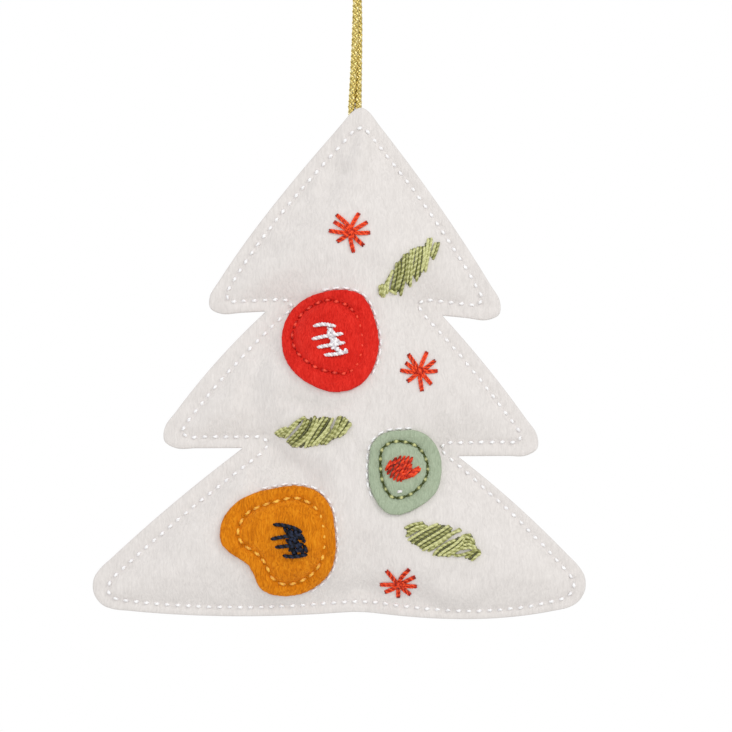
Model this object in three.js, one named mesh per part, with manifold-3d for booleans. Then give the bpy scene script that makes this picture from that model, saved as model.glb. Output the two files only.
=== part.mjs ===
// A stuffed felt tree that hangs on a loop of metallic cord. Millimetres, +Z up, the front faces -Y.
// The origin is the inner crown of the loop, where a hook or a twig carries it.
import * as THREE from "three";
import { mergeVertices } from "three/addons/utils/BufferGeometryUtils.js";
import Module from "manifold-3d";

const wasm = await Module();
wasm.setup();

// The tree's two felt panels
const treeWidth = 122.8; // across the lowest tier
const treeHeight = 127.8; // from the tip to the lowest point of the hem
const tipOffset = 0.7; // the tip lies this far right of the loop's axis
const feltThickness = 1.2;
const layerGap = 0.3; // between any two layers that lie on each other
const seamMargin = 3.3; // from the cut edge to the sewn line
const crownHeight = 7.4; // how far the filling lifts each panel at most
const crownReach = 9; // the lift grows to 63 % of that within this distance of the seam
const fillingMargin = 2; // the filling ends this far inside the seam
const ringStep = 3; // between the rings of points inside the seam
const outlineStep = 4.4; // between points along the cut edge and the rings
const gridStep = 6; // between points over the rest of a panel
const tipStep = 2; // between points round the cord at the tip
const sampleStep = 0.9; // between the places along the seam that the crown is worked out from
const weldDistance = 1e-4; // corners of one solid nearer than this are the same corner

// The hanging cord
const cordDiameter = 1.6;
const cordSides = 8;
const cordSteps = 78;
const tailSteps = 8;
const knotShares = [2.6, 2.1, 2.9]; // the knot's width, thickness and height, in cord diameters
const knotSegments = [12, 8]; // round the knot, and from its top to its bottom
const knotDrop = 13; // from the tip down to the knot's middle
const tailLength = 4; // of the cut ends below the knot
const sleeveHalfWidth = 2.4; // the felt is lifted fully this far each side of the cord
const sleeveFade = 3.5; // and falls back to flat over this distance

// Threads
const edgeThread = 0.75;
const patchThread = 0.6;
const scribbleThread = 0.7;
const leafThread = 0.75;
const placementThread = 0.55;
const starThickness = 0.5;
const starRise = 0.5; // from the felt to the star's underside, so that its rays clear the crown
const starHemGap = 1.8; // from the seam along the hem up to the lowest star
const starRayWidth = 0.95;
const stitchPitch = 2.6; // of the seam and of every line of stitches
const strokeStep = 2.6; // between points along a stroke of embroidery
const threadSides = 4;
const pinchShare = 0.57; // a stitch's width where the needle went through, as a share of the thread's

// The felt patches
const redWidth = 24;
const redHeight = 25.4;
const redStitchInset = 2.3;
const greenWidth = 18.3;
const greenHeight = 20.8;
const greenStitchInset = 2.8;
const mustardWidth = 28.6;
const mustardHeight = 27.6;
const mustardStitchInset = 2.7;
const mustardHemGap = 2.7; // from the seam along the hem up to the mustard patch
const placementGap = 0.45; // from a patch's cut edge to the white stitches beside it
const patchStep = 3; // between points along a patch's edge
const patchGridShares = [1.3, 0.6]; // the step of the points inside it and their margin, in patch steps

// The embroidered leaves and stars
const leafLength = 20.3;
const leafWidth = 6.8;
const leafStrokeGap = 0.9; // between the middles of neighbouring strokes
const starRadius = 5.2;

// The loop's route: up the left strand, round the crown and down the right strand.
// The strands turn half round each other on the way.
const cordRoute = [
  [-1.45, 0, -79.7],
  [-1.05, -0.54, -73],
  [-0.68, -0.69, -65.5],
  [-0.46, -0.77, -59],
  [-0.3, -0.82, -53],
  [0, -0.88, -42],
  [0.44, -0.76, -34],
  [0.77, -0.44, -26],
  [0.95, -0.15, -19],
  [1.6, 0, -13],
  [2.8, 0, -8],
  [3.75, 0, -4.5],
  [3.95, 0, -2.6],
  [3.2, 0, -0.8],
  [1.7, 0, 0.42],
  [0, 0, 0.8],
  [-1.7, 0, 0.42],
  [-3.2, 0, -0.8],
  [-3.95, 0, -2.6],
  [-3.75, 0, -4.5],
  [-2.8, 0, -8],
  [-1.6, 0, -13],
  [-0.95, 0.15, -19],
  [-0.77, 0.44, -26],
  [-0.44, 0.76, -34],
  [0, 0.88, -42],
  [0.3, 0.82, -53],
  [0.43, 0.77, -59],
  [0.4, 0.69, -65.5],
  [0.3, 0.54, -73],
  [0.25, 0, -79.7],
].map((p) => new THREE.Vector3(...p));
const leftStrand = cordRoute[0];
const rightStrand = cordRoute[cordRoute.length - 1];
const tipHeight = leftStrand.z - layerGap;

// The cut edge's corners, clockwise from the tip, as seen from the front: across, as a share of half the
// width, and down, as a share of the height. bow is how far the side that starts there bulges, and round is
// the corner's radius, both as shares of the height. bowAt is where along the side the bulge is pulled to, as
// a share of its length, and the middle where it is left out. sewn is the seam's distance from that side, as
// a share of its margin, and back is how far before the meeting of its two sides the seam turns, as a share
// of the height.
const cornerShares = [
  { name: "tip", across: 0.004, down: -0.0102, bow: 0.0115, bowAt: 0.55, round: 0.0196, sewn: 1.06 },
  { name: "upper right", across: 0.619, down: 0.42, bow: 0, round: 0.026, sewn: 1.06 },
  { name: "upper right notch", across: 0.334, down: 0.406, bow: 0.0075, round: 0.003, sewn: 1 },
  { name: "middle right", across: 0.777, down: 0.68, bow: 0, round: 0.028, sewn: 1.06 },
  {
    name: "lower right notch",
    across: 0.397,
    down: 0.681,
    bow: 0.0102,
    round: 0.001,
    sewn: 0.97,
    back: 0.0235,
  },
  { name: "lower right", across: 0.997, down: 0.954, bow: 0.0303, bowAt: 0.4, round: 0.053, sewn: 0.92 },
  { name: "hem", across: 0, down: 0.9835, bow: 0.0184, bowAt: 0.55, round: 0.3, sewn: 0.85 },
  { name: "lower left", across: -1.196, down: 0.966, bow: 0.0086, round: 0.048, sewn: 1.18 },
  { name: "lower left notch", across: -0.477, down: 0.665, bow: 0, round: 0.006, sewn: 0.87 },
  { name: "middle left", across: -0.853, down: 0.666, bow: 0.0113, round: 0.028, sewn: 1.2 },
  { name: "upper left notch", across: -0.383, down: 0.398, bow: 0, round: 0.003, sewn: 0.87 },
  { name: "upper left", across: -0.654, down: 0.405, bow: 0.0152, bowAt: 0.33, round: 0.0245, sewn: 1.1 },
];
const bowMiddleShare = 0.5;
const seamRoundShare = 0.008; // the sewn line's sharpest corner, as a share of the height
const notchRoundShare = 0.3; // how much a line beside a notch is rounded more, as a share of its distance
const arcShare = 1.3; // how much closer the points lie round a corner than along a side

// Patch outlines, as shares of half the patch's width and height
const redOutlineShares = [
  [0.14, 1],
  [0.41, 0.98],
  [0.71, 0.84],
  [0.92, 0.41],
  [1, -0.09],
  [0.85, -0.6],
  [0.53, -0.91],
  [0.05, -1],
  [-0.44, -0.84],
  [-0.79, -0.57],
  [-0.99, -0.19],
  [-0.98, 0.29],
  [-0.73, 0.68],
  [-0.35, 0.9],
];
const greenOutlineShares = [
  [-0.07, 1],
  [0.32, 0.99],
  [0.7, 0.8],
  [0.95, 0.42],
  [0.99, -0.06],
  [0.81, -0.52],
  [0.34, -0.84],
  [-0.12, -1],
  [-0.52, -0.95],
  [-0.83, -0.61],
  [-0.98, -0.2],
  [-0.98, 0.28],
  [-0.89, 0.69],
  [-0.56, 0.94],
];
const mustardOutlineShares = [
  [0.31, 1],
  [0.68, 0.9],
  [0.92, 0.61],
  [0.99, 0.19],
  [1, -0.23],
  [0.86, -0.63],
  [0.51, -0.92],
  [0.1, -1],
  [-0.27, -0.9],
  [-0.42, -0.61],
  [-0.54, -0.4],
  [-0.82, -0.22],
  [-0.99, -0.01],
  [-0.98, 0.34],
  [-0.75, 0.67],
  [-0.42, 0.86],
  [-0.07, 0.95],
];

// Zigzag scribbles, as shares of half the patch's width and height
const whiteScribbleShares = [
  [-0.38, 0.31],
  [0.14, 0.29],
  [-0.41, 0.03],
  [0.31, 0.15],
  [-0.31, -0.13],
  [0.33, -0.05],
  [-0.15, -0.29],
  [0.37, -0.23],
];
const coralScribbleShares = [
  [-0.53, 0.06],
  [-0.1, 0.36],
  [-0.48, -0.1],
  [0.22, 0.3],
  [-0.3, -0.2],
  [0.42, 0.18],
  [-0.02, -0.28],
  [0.45, -0.02],
];
const navyScribbleShares = [
  [-0.16, 0.2],
  [0.3, 0.32],
  [-0.1, -0.03],
  [0.46, 0.18],
  [0, -0.2],
  [0.52, -0.04],
  [0.18, -0.35],
  [0.54, -0.28],
];

// Where each patch's middle lies. The red and the green one lie beside the seam's corner in a notch, and
// their shares are of half their own width and height, measured from that corner. The mustard one lies a
// share of half the tree's width to the side of the tip, and its gap to the hem is named above.
const redPlaceShares = { beside: "upper left notch", across: 0.552, up: -0.85 };
const greenPlaceShares = { beside: "lower right notch", across: -0.708, up: -0.7 };
const mustardAcrossShare = -0.332;

// Where the white stitches beside each patch begin and end, as shares of a circle turned to the left from +X
const redTurnShares = [-0.125, 0.29];
const greenTurnShares = [0.21, 0.625];
const mustardTurnShares = [-0.165, 0.305];

// Where each leaf and star lies, as shares of half the tree's width and of its height, measured from the tip
const leafShares = {
  leaf_top: { place: [0.2, 0.314], heading: 43.5, lean: 70 },
  leaf_middle: { place: [-0.191, 0.631], heading: 8, lean: 48 },
  leaf_bottom: { place: [0.338, 0.847], heading: -20, lean: 30 },
};
const leafEndShare = 0.18; // a leaf's width at its two ends, as a share of its greatest width
const leafInsetShare = 0.2; // how far the middles of its end strokes lie inside its ends, in leaf widths
const leafFullness = 0.8; // below 1 the leaf is blunter than a sine curve
const starShares = {
  star_top: { place: [-0.041, 0.243], size: 1 },
  star_middle: { place: [0.24, 0.514], size: 0.96 },
};
const lowestStarShares = { across: 0.16, size: 0.82 };
// Each ray's direction in degrees and its length as a share of the star's radius
const starRayShares = [
  [0, 0.87],
  [36, 0.9],
  [68, 1],
  [142, 1],
  [188, 0.98],
  [215, 0.84],
  [282, 1],
  [318, 0.86],
];

// A point of the tree in the plane of the panels, from shares of its size
function treePoint(across, down) {
  return new THREE.Vector2(tipOffset + (across * treeWidth) / 2, tipHeight - down * treeHeight);
}

// The direction turned a quarter to the left, which points outwards on a clockwise outline
function leftOf(direction) {
  return new THREE.Vector2(-direction.y, direction.x).normalize();
}

// Where two lines meet, each given by a point and a direction
function meeting(p, d, q, e) {
  const t = new THREE.Vector2().subVectors(q, p).cross(e) / d.cross(e);
  return p.clone().addScaledVector(d, t);
}

// The curved side from one corner to the next
function sideCurve(from, to, bow, bowAt) {
  const control = from.clone().lerp(to, bowAt);
  control.addScaledVector(leftOf(to.clone().sub(from)), 2 * bow);
  return new THREE.QuadraticBezierCurve(from, control, to);
}

// The tree's outline moved inwards, as corners, curved sides and radii
function insetCorners(inset) {
  const count = cornerShares.length;
  const sharp = cornerShares.map((c) => treePoint(c.across, c.down));
  const bows = cornerShares.map(({ bow, bowAt = bowMiddleShare }) => [bow * treeHeight, bowAt]);
  const sides = sharp.map((p, i) => sideCurve(p, sharp[(i + 1) % count], ...bows[i]));
  const past = Math.max(0, inset - seamMargin);
  const distances = cornerShares.map(({ sewn }) => sewn * (inset - past) + past);
  return sharp.map((p, i) => {
    const last = (i + count - 1) % count;
    const before = sides[last].getTangent(1);
    const after = sides[i].getTangent(0);
    const place = meeting(
      p.clone().addScaledVector(leftOf(before), -distances[last]),
      before,
      p.clone().addScaledVector(leftOf(after), -distances[i]),
      after,
    );
    const backShare = cornerShares[i].back ?? 0;
    place.addScaledVector(before, (-backShare * treeHeight * (inset - past)) / seamMargin);
    const sharpest = seamRoundShare * treeHeight;
    const radius = cornerShares[i].round * treeHeight;
    const notch = before.cross(after) > 0;
    const notchRadius = radius + notchRoundShare * inset + past;
    return {
      place,
      notch,
      bow: bows[i],
      radius: notch ? notchRadius : Math.max(radius - inset, Math.min(radius, sharpest)),
    };
  });
}

// A closed ring of points along the outline moved inwards, with its corners rounded
function outlineRing(inset, step) {
  const corners = insetCorners(inset);
  const count = corners.length;
  const sides = corners.map((c, i) => sideCurve(c.place, corners[(i + 1) % count].place, ...c.bow));
  const reach = corners.map((c, i) => {
    const before = sides[(i + count - 1) % count].getTangent(1).negate();
    const after = sides[i].getTangent(0);
    return c.radius / Math.tan(Math.acos(before.dot(after)) / 2);
  });
  const ring = [];
  corners.forEach((corner, i) => {
    const before = sides[(i + count - 1) % count];
    const start = before.getPointAt(1 - reach[i] / before.getLength());
    const end = sides[i].getPointAt(reach[i] / sides[i].getLength());
    const weight = start.distanceTo(end) / (2 * reach[i]);
    const arcPoints = Math.max(1, Math.ceil((arcShare * start.distanceTo(end)) / step));
    for (let k = 0; k < arcPoints; k++) {
      const s = k / arcPoints;
      const parts = [(1 - s) ** 2, 2 * s * (1 - s) * weight, s ** 2];
      const sum = parts[0] + parts[1] + parts[2];
      const p = new THREE.Vector2();
      p.addScaledVector(start, parts[0] / sum);
      p.addScaledVector(corner.place, parts[1] / sum);
      p.addScaledVector(end, parts[2] / sum);
      ring.push(p);
    }
    const length = sides[i].getLength();
    const straight = length - reach[i] - reach[(i + 1) % count];
    const pieces = Math.max(1, Math.round(straight / step));
    for (let k = 0; k < pieces; k++) {
      ring.push(sides[i].getPointAt((reach[i] + (straight * k) / pieces) / length));
    }
  });
  return ring;
}

// Whether a point is inside a closed ring
function isInside(ring, x, z) {
  let inside = false;
  ring.forEach((a, i) => {
    const b = ring[(i + 1) % ring.length];
    if (a.y > z !== b.y > z && x < a.x + ((b.x - a.x) * (z - a.y)) / (b.y - a.y)) inside = !inside;
  });
  return inside;
}

// The least distance from a point to a closed ring
function ringDistance(ring, x, z) {
  const p = new THREE.Vector3(x, 0, z);
  const edge = new THREE.Line3();
  const near = new THREE.Vector3();
  return Math.min(
    ...ring.map((a, i) => {
      const b = ring[(i + 1) % ring.length];
      edge.start.set(a.x, 0, a.y);
      edge.end.set(b.x, 0, b.y);
      return edge.closestPointToPoint(p, true, near).distanceTo(p);
    }),
  );
}

// A staggered grid of points inside a ring, kept a margin away from it
function gridInside(ring, step, margin) {
  const box = new THREE.Box2().setFromPoints(ring);
  const rowStep = (step * Math.sqrt(3)) / 2;
  const rows = Math.ceil((box.max.y - box.min.y) / rowStep);
  const columns = Math.ceil((box.max.x - box.min.x) / step) + 1;
  const points = [];
  for (let row = 0; row <= rows; row++) {
    for (let column = 0; column <= columns; column++) {
      const x = box.min.x + (column - (row % 2) / 2) * step;
      const z = box.min.y + row * rowStep;
      if (isInside(ring, x, z) && ringDistance(ring, x, z) > margin) points.push(new THREE.Vector2(x, z));
    }
  }
  return points;
}

// Delaunay triangles over points, kept where they lie inside the outline. Each point is nudged a hair for
// the circle test alone, so that no four lie on one circle. The first triangle goes far round them all.
const nudgeShare = 1e-6;
const farShare = 50;
function triangulate(points, outline) {
  const count = points.length;
  const box = new THREE.Box2().setFromPoints(points);
  const span = box.getSize(new THREE.Vector2()).length();
  const middle = box.getCenter(new THREE.Vector2());
  const nudge = span * nudgeShare;
  const nudged = points.map(
    (p, i) => new THREE.Vector2(p.x + nudge * Math.sin(7 * i), p.y + nudge * Math.cos(11 * i)),
  );
  for (const turn of [0, 1, 2]) {
    const angle = (turn * 2 * Math.PI) / 3;
    const away = new THREE.Vector2(Math.cos(angle), Math.sin(angle));
    nudged.push(middle.clone().addScaledVector(away, farShare * span));
  }
  const withCircle = (a, b, c) => {
    const [p, q, r] = [nudged[a], nudged[b], nudged[c]];
    const pq = q.clone().sub(p);
    const pr = r.clone().sub(p);
    const double = 2 * pq.cross(pr);
    const x = (pr.y * pq.lengthSq() - pq.y * pr.lengthSq()) / double;
    const y = (pq.x * pr.lengthSq() - pr.x * pq.lengthSq()) / double;
    return { corners: [a, b, c], x: p.x + x, y: p.y + y, radiusSquared: x * x + y * y };
  };
  let triangles = [withCircle(count, count + 1, count + 2)];
  for (let i = 0; i < count; i++) {
    const p = nudged[i];
    const edges = new Map();
    triangles = triangles.filter((t) => {
      if ((p.x - t.x) ** 2 + (p.y - t.y) ** 2 > t.radiusSquared) return true;
      t.corners.forEach((a, k) => {
        const b = t.corners[(k + 1) % 3];
        if (!edges.delete(`${b} ${a}`)) edges.set(`${a} ${b}`, [a, b]);
      });
      return false;
    });
    for (const [a, b] of edges.values()) triangles.push(withCircle(a, b, i));
  }
  return triangles
    .map((t) => t.corners)
    .filter((t) => t.every((k) => k < count))
    .filter(([a, b, c]) => {
      const x = (points[a].x + points[b].x + points[c].x) / 3;
      const z = (points[a].y + points[b].y + points[c].y) / 3;
      return isInside(outline, x, z);
    });
}

// A solid sheet over triangles of the panel plane. frontAt and rearAt give its two faces' places along Y.
function sheetSolid(points, triangles, frontAt, rearAt) {
  const used = [...new Set(triangles.flat())];
  const order = new Map(used.map((k, i) => [k, i]));
  const corners = triangles.map((t) => t.map((k) => order.get(k)));
  const positions = [];
  for (const face of [frontAt, rearAt]) {
    for (const k of used) positions.push(points[k].x, face(points[k].x, points[k].y, k), points[k].y);
  }
  const rear = used.length;
  const index = [];
  const rim = new Map();
  for (const [a, b, c] of corners) {
    index.push(a, b, c, rear + a, rear + c, rear + b);
    for (const [p, q] of [[a, b], [b, c], [c, a]]) {
      if (!rim.delete(`${q} ${p}`)) rim.set(`${p} ${q}`, [p, q]);
    }
  }
  for (const [p, q] of rim.values()) index.push(p, rear + q, q, p, rear + p, rear + q);
  const geometry = new THREE.BufferGeometry();
  geometry.setAttribute("position", new THREE.Float32BufferAttribute(positions, 3));
  geometry.setIndex(index);
  geometry.computeVertexNormals();
  return geometry;
}

// A thread's solid: rings round a line of points that lies on a surface facing the given way along Y
function threadSolid(points, radii, facing, closed) {
  const count = points.length;
  const positions = [];
  points.forEach((p, i) => {
    const before = points[closed ? (i + count - 1) % count : Math.max(i - 1, 0)];
    const after = points[closed ? (i + 1) % count : Math.min(i + 1, count - 1)];
    const along = after.clone().sub(before).normalize();
    const across = along.clone().cross(new THREE.Vector3(0, facing, 0)).normalize();
    const up = across.clone().cross(along);
    for (let k = 0; k < threadSides; k++) {
      const angle = ((k + 0.5) * 2 * Math.PI) / threadSides;
      const q = p.clone();
      q.addScaledVector(across, radii[i] * Math.cos(angle));
      q.addScaledVector(up, radii[i] * Math.sin(angle));
      positions.push(q.x, q.y, q.z);
    }
  });
  const index = [];
  const links = closed ? count : count - 1;
  for (let i = 0; i < links; i++) {
    const next = ((i + 1) % count) * threadSides;
    for (let k = 0; k < threadSides; k++) {
      const a = i * threadSides + k;
      const b = i * threadSides + ((k + 1) % threadSides);
      const c = next + k;
      const d = next + ((k + 1) % threadSides);
      index.push(a, c, b, b, c, d);
    }
  }
  if (!closed) {
    const last = (count - 1) * threadSides;
    for (let k = 1; k < threadSides - 1; k++) {
      index.push(0, k, k + 1, last, last + k + 1, last + k);
    }
  }
  const geometry = new THREE.BufferGeometry();
  geometry.setAttribute("position", new THREE.Float32BufferAttribute(positions, 3));
  geometry.setIndex(index);
  geometry.computeVertexNormals();
  return geometry;
}

// Evenly spaced points on a smooth closed curve through chosen ones, at about a step, or half of one where
// the count has to be even
function smoothLoop(chosen, step, even = false) {
  const curve = new THREE.CatmullRomCurve3(
    chosen.map((p) => new THREE.Vector3(p.x, p.y, 0)),
    true,
    "catmullrom",
    0.5,
  );
  const whole = Math.round(curve.getLength() / step);
  const count = even ? 2 * whole : whole;
  return curve.getSpacedPoints(count).slice(0, count).map((p) => new THREE.Vector2(p.x, p.y));
}

// A smooth closed curve moved outwards by a distance
function movedOut(loop, distance) {
  return loop.map((p, i) => {
    const along = loop[(i + 1) % loop.length].clone().sub(loop[(i + loop.length - 1) % loop.length]);
    return p.clone().addScaledVector(leftOf(along), distance);
  });
}

// The panels share one net of points: rings that follow the edge and the seam, a grid over the rest and a
// finer grid round the cord at the tip. The margin between edge and seam is too narrow beside a notch for
// points of its own.
const edgeRing = outlineRing(0, outlineStep);
const edgeMiddles = edgeRing.map((p, i) => p.clone().lerp(edgeRing[(i + 1) % edgeRing.length], 1 / 2));
const notchCorners = insetCorners(0).filter(({ notch }) => notch);
const marginRing = movedOut(edgeMiddles, -seamMargin / 2).filter((p) => {
  return notchCorners.every(({ place }) => place.distanceTo(p) > outlineStep);
});
const seamRing = outlineRing(seamMargin, stitchPitch);
const fillingRing = outlineRing(seamMargin + fillingMargin, outlineStep);
const innerRing = outlineRing(seamMargin + fillingMargin + ringStep, outlineStep);
const seamSamples = outlineRing(seamMargin, sampleStep);

// The seam's height along the hem, at a place across the tree
function hemSeamAt(x) {
  const heights = seamRing.map((a, i) => {
    const b = seamRing[(i + 1) % seamRing.length];
    return a.x > x === b.x > x ? Infinity : a.y + ((b.y - a.y) * (x - a.x)) / (b.x - a.x);
  });
  return Math.min(...heights);
}

// A felt patch's outline and inner points, from its middle and its size
function patchShape(centre, width, height, outlineShares) {
  const at = ([a, b]) => new THREE.Vector2(centre.x + (a * width) / 2, centre.y + (b * height) / 2);
  const loop = outlineShares.map(at);
  const outline = smoothLoop(loop, patchStep);
  const [gridShare, marginShare] = patchGridShares;
  const inner = gridInside(outline, patchStep * gridShare, patchStep * marginShare);
  return { centre, at, loop, outline, points: [...outline, ...inner] };
}

// A patch's middle beside the seam's corner in a notch
function besideNotch({ beside, across, up }, width, height) {
  const corner = cornerShares.findIndex(({ name }) => name === beside);
  const { place } = insetCorners(seamMargin)[corner];
  return new THREE.Vector2(place.x + (across * width) / 2, place.y + (up * height) / 2);
}

const redMiddle = besideNotch(redPlaceShares, redWidth, redHeight);
const greenMiddle = besideNotch(greenPlaceShares, greenWidth, greenHeight);
const mustardMiddle = treePoint(mustardAcrossShare, 0);
mustardMiddle.y = hemSeamAt(mustardMiddle.x) + mustardHemGap + mustardHeight / 2;
const redPatch = patchShape(redMiddle, redWidth, redHeight, redOutlineShares);
const greenPatch = patchShape(greenMiddle, greenWidth, greenHeight, greenOutlineShares);
const mustardPatch = patchShape(mustardMiddle, mustardWidth, mustardHeight, mustardOutlineShares);
const patches = [redPatch, greenPatch, mustardPatch];

// How far the filling lifts a panel at a place: nothing at the seam and outside it, and more the further
// the place lies from all of the seam
function crownAt(x, z) {
  if (!isInside(seamSamples, x, z)) return 0;
  let closeness = 0;
  seamSamples.forEach((a, i) => {
    const b = seamSamples[(i + 1) % seamSamples.length];
    const squared = ((a.x + b.x) / 2 - x) ** 2 + ((a.y + b.y) / 2 - z) ** 2;
    closeness += a.distanceTo(b) / squared ** 2;
  });
  const distance = Math.cbrt(Math.PI / 2 / closeness);
  return crownHeight * (1 - Math.exp(-distance / crownReach));
}

// How far the cord's ends lift a panel round the tip
const cordMiddle = (leftStrand.x + rightStrand.x) / 2;
function sleeveAt(x, z) {
  const aside = Math.max(0, Math.abs(x - cordMiddle) - sleeveHalfWidth);
  const below = Math.max(0, tipHeight - knotDrop - z);
  const fade = THREE.MathUtils.smoothstep(Math.hypot(aside, below), 0, sleeveFade);
  return (cordDiameter / 2 + layerGap / 2) * (1 - fade);
}

const tipZone = gridInside(edgeRing, tipStep, tipStep / 2).filter((p) => {
  const aside = Math.abs(p.x - cordMiddle) - sleeveHalfWidth;
  const offRings = [marginRing, seamRing].every((ring) => ringDistance(ring, p.x, p.y) > tipStep / 2);
  return offRings && aside < sleeveFade && p.y > tipHeight - knotDrop - sleeveFade;
});
const besideTip = (p) => tipZone.every((q) => q.distanceTo(p) > tipStep / 2);
const besidePatches = (p) =>
  patches.every(({ outline }) => {
    return !isInside(outline, p.x, p.y) && ringDistance(outline, p.x, p.y) > patchStep / 2;
  });
const sewnPoints = [...edgeRing, ...marginRing, ...seamRing];
const plainPoints = [...fillingRing, ...innerRing, ...gridInside(innerRing, gridStep, gridStep / 2)];
const netPoints = [
  ...sewnPoints,
  ...plainPoints.filter(besideTip).filter(besidePatches),
  ...patches.flatMap(({ points }) => points),
  ...tipZone,
];
const netTriangles = triangulate(netPoints, edgeRing);

// The net's triangles that lie inside a ring
function trianglesInside(ring) {
  return netTriangles.filter((t) => {
    const centre = new THREE.Vector2();
    for (const k of t) centre.addScaledVector(netPoints[k], 1 / t.length);
    return isInside(ring, centre.x, centre.y);
  });
}
const netLift = netPoints.map((p) => {
  const onSeam = ringDistance(seamRing, p.x, p.y) < layerGap / 10;
  return (onSeam ? 0 : crownAt(p.x, p.y)) + sleeveAt(p.x, p.y);
});

// The lift of the panels' facets at any place, read from the net
function liftAt(x, z) {
  let lift = 0;
  let least = -Infinity;
  for (const [a, b, c] of netTriangles) {
    const [p, q, r] = [netPoints[a], netPoints[b], netPoints[c]];
    const area = (q.x - p.x) * (r.y - p.y) - (q.y - p.y) * (r.x - p.x);
    const u = ((q.x - x) * (r.y - z) - (q.y - z) * (r.x - x)) / area;
    const v = ((r.x - x) * (p.y - z) - (r.y - z) * (p.x - x)) / area;
    const inside = Math.min(u, v, 1 - u - v);
    if (inside > least) {
      least = inside;
      lift = u * netLift[a] + v * netLift[b] + (1 - u - v) * netLift[c];
    }
    if (inside >= 0) break;
  }
  return lift;
}

const innerFace = layerGap / 2;
const outerFace = innerFace + feltThickness;
const frontFace = (x, z) => -(outerFace + liftAt(x, z));
const patchFace = (x, z) => frontFace(x, z) - layerGap - feltThickness;
const patchFaceAt = (x, z, k) => -outerFace - netLift[k] - layerGap - feltThickness;

// A line of points in the panel plane, laid on a face as the middle line of a thread. The thread clears the
// face on both of its sides too.
function laidOn(line, face, thread) {
  return line.map((p) => {
    const faces = [
      face(p.x, p.y),
      face(p.x - thread / 2, p.y),
      face(p.x + thread / 2, p.y),
      face(p.x, p.y - thread / 2),
      face(p.x, p.y + thread / 2),
    ];
    return new THREE.Vector3(p.x, Math.min(...faces) - layerGap - thread / 2, p.y);
  });
}

// The same line with points added, so that a long stroke follows the crown under it
function withStops(line) {
  const stops = [];
  line.forEach((p, i) => {
    const next = line[Math.min(i + 1, line.length - 1)];
    const pieces = Math.max(1, Math.ceil(p.distanceTo(next) / strokeStep));
    for (let k = 0; k < pieces; k++) stops.push(p.clone().lerp(next, k / pieces));
  });
  return stops;
}

function patchSolid(owner) {
  const rear = (x, z, k) => -outerFace - netLift[k] - layerGap;
  return sheetSolid(netPoints, trianglesInside(owner.outline), patchFaceAt, rear);
}

// A line of stitches: each stitch is thick in the middle and pinched where the needle went through
function stitchRadii(line, thread) {
  return line.map((p, i) => (i % 2 ? thread / 2 : (thread * pinchShare) / 2));
}
function patchStitch(owner, inset) {
  const inner = movedOut(smoothLoop(owner.loop, patchStep / 2), -inset);
  const line = smoothLoop(inner, stitchPitch, true);
  return threadSolid(laidOn(line, patchFace, patchThread), stitchRadii(line, patchThread), -1, true);
}

// White stitches that show beside a patch, over the turn between two directions, which are shares of a circle
function placementStitch(owner, [from, to]) {
  const loop = movedOut(smoothLoop(owner.loop, stitchPitch, true), placementGap + placementThread / 2);
  const turned = (p) => {
    const angle = Math.atan2(p.y - owner.centre.y, p.x - owner.centre.x);
    return THREE.MathUtils.euclideanModulo(angle / (2 * Math.PI) - from, 1);
  };
  const line = loop.filter((p) => turned(p) < to - from).sort((p, q) => turned(p) - turned(q));
  const radii = stitchRadii(line, placementThread);
  return threadSolid(laidOn(line, frontFace, placementThread), radii, -1, false);
}

function scribble(owner, shares) {
  const line = withStops(shares.map(owner.at));
  return threadSolid(laidOn(line, patchFace, scribbleThread), line.map(() => scribbleThread / 2), -1, false);
}

// A leaf is one thread taken back and forth between the two edges of a pointed oval. At an edge it turns
// square to its strokes.
function leaf({ place, heading, lean }) {
  const centre = treePoint(...place);
  const along = new THREE.Vector2(1, 0).rotateAround(new THREE.Vector2(), THREE.MathUtils.degToRad(heading));
  const stroke = new THREE.Vector2(1, 0).rotateAround(new THREE.Vector2(), THREE.MathUtils.degToRad(lean));
  const aside = leftOf(stroke).negate();
  const run = leafLength - 2 * leafWidth * leafInsetShare;
  const count = Math.round((run * along.dot(aside)) / leafStrokeGap);
  const strokes = Array.from({ length: count }, (_, i) => {
    const share = (i + 0.5) / count;
    const fullness = leafEndShare + (1 - leafEndShare) * Math.sin(Math.PI * share) ** leafFullness;
    const half = (leafWidth / 2) * (fullness / along.dot(aside));
    const middle = centre.clone().addScaledVector(along, (share - 0.5) * run);
    const level = middle.dot(stroke);
    return { across: middle.dot(aside), levels: [level - half, level + half] };
  });
  const line = strokes.flatMap(({ across, levels }, i) => {
    const last = strokes[Math.max(i - 1, 0)].levels;
    const next = strokes[Math.min(i + 1, count - 1)].levels;
    const from = i % 2;
    const to = 1 - from;
    return [(last[from] + levels[from]) / 2, (next[to] + levels[to]) / 2].map((level) => {
      return new THREE.Vector2().addScaledVector(aside, across).addScaledVector(stroke, level);
    });
  });
  const stops = withStops(line);
  return threadSolid(laidOn(stops, frontFace, leafThread), stops.map(() => leafThread / 2), -1, false);
}

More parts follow.
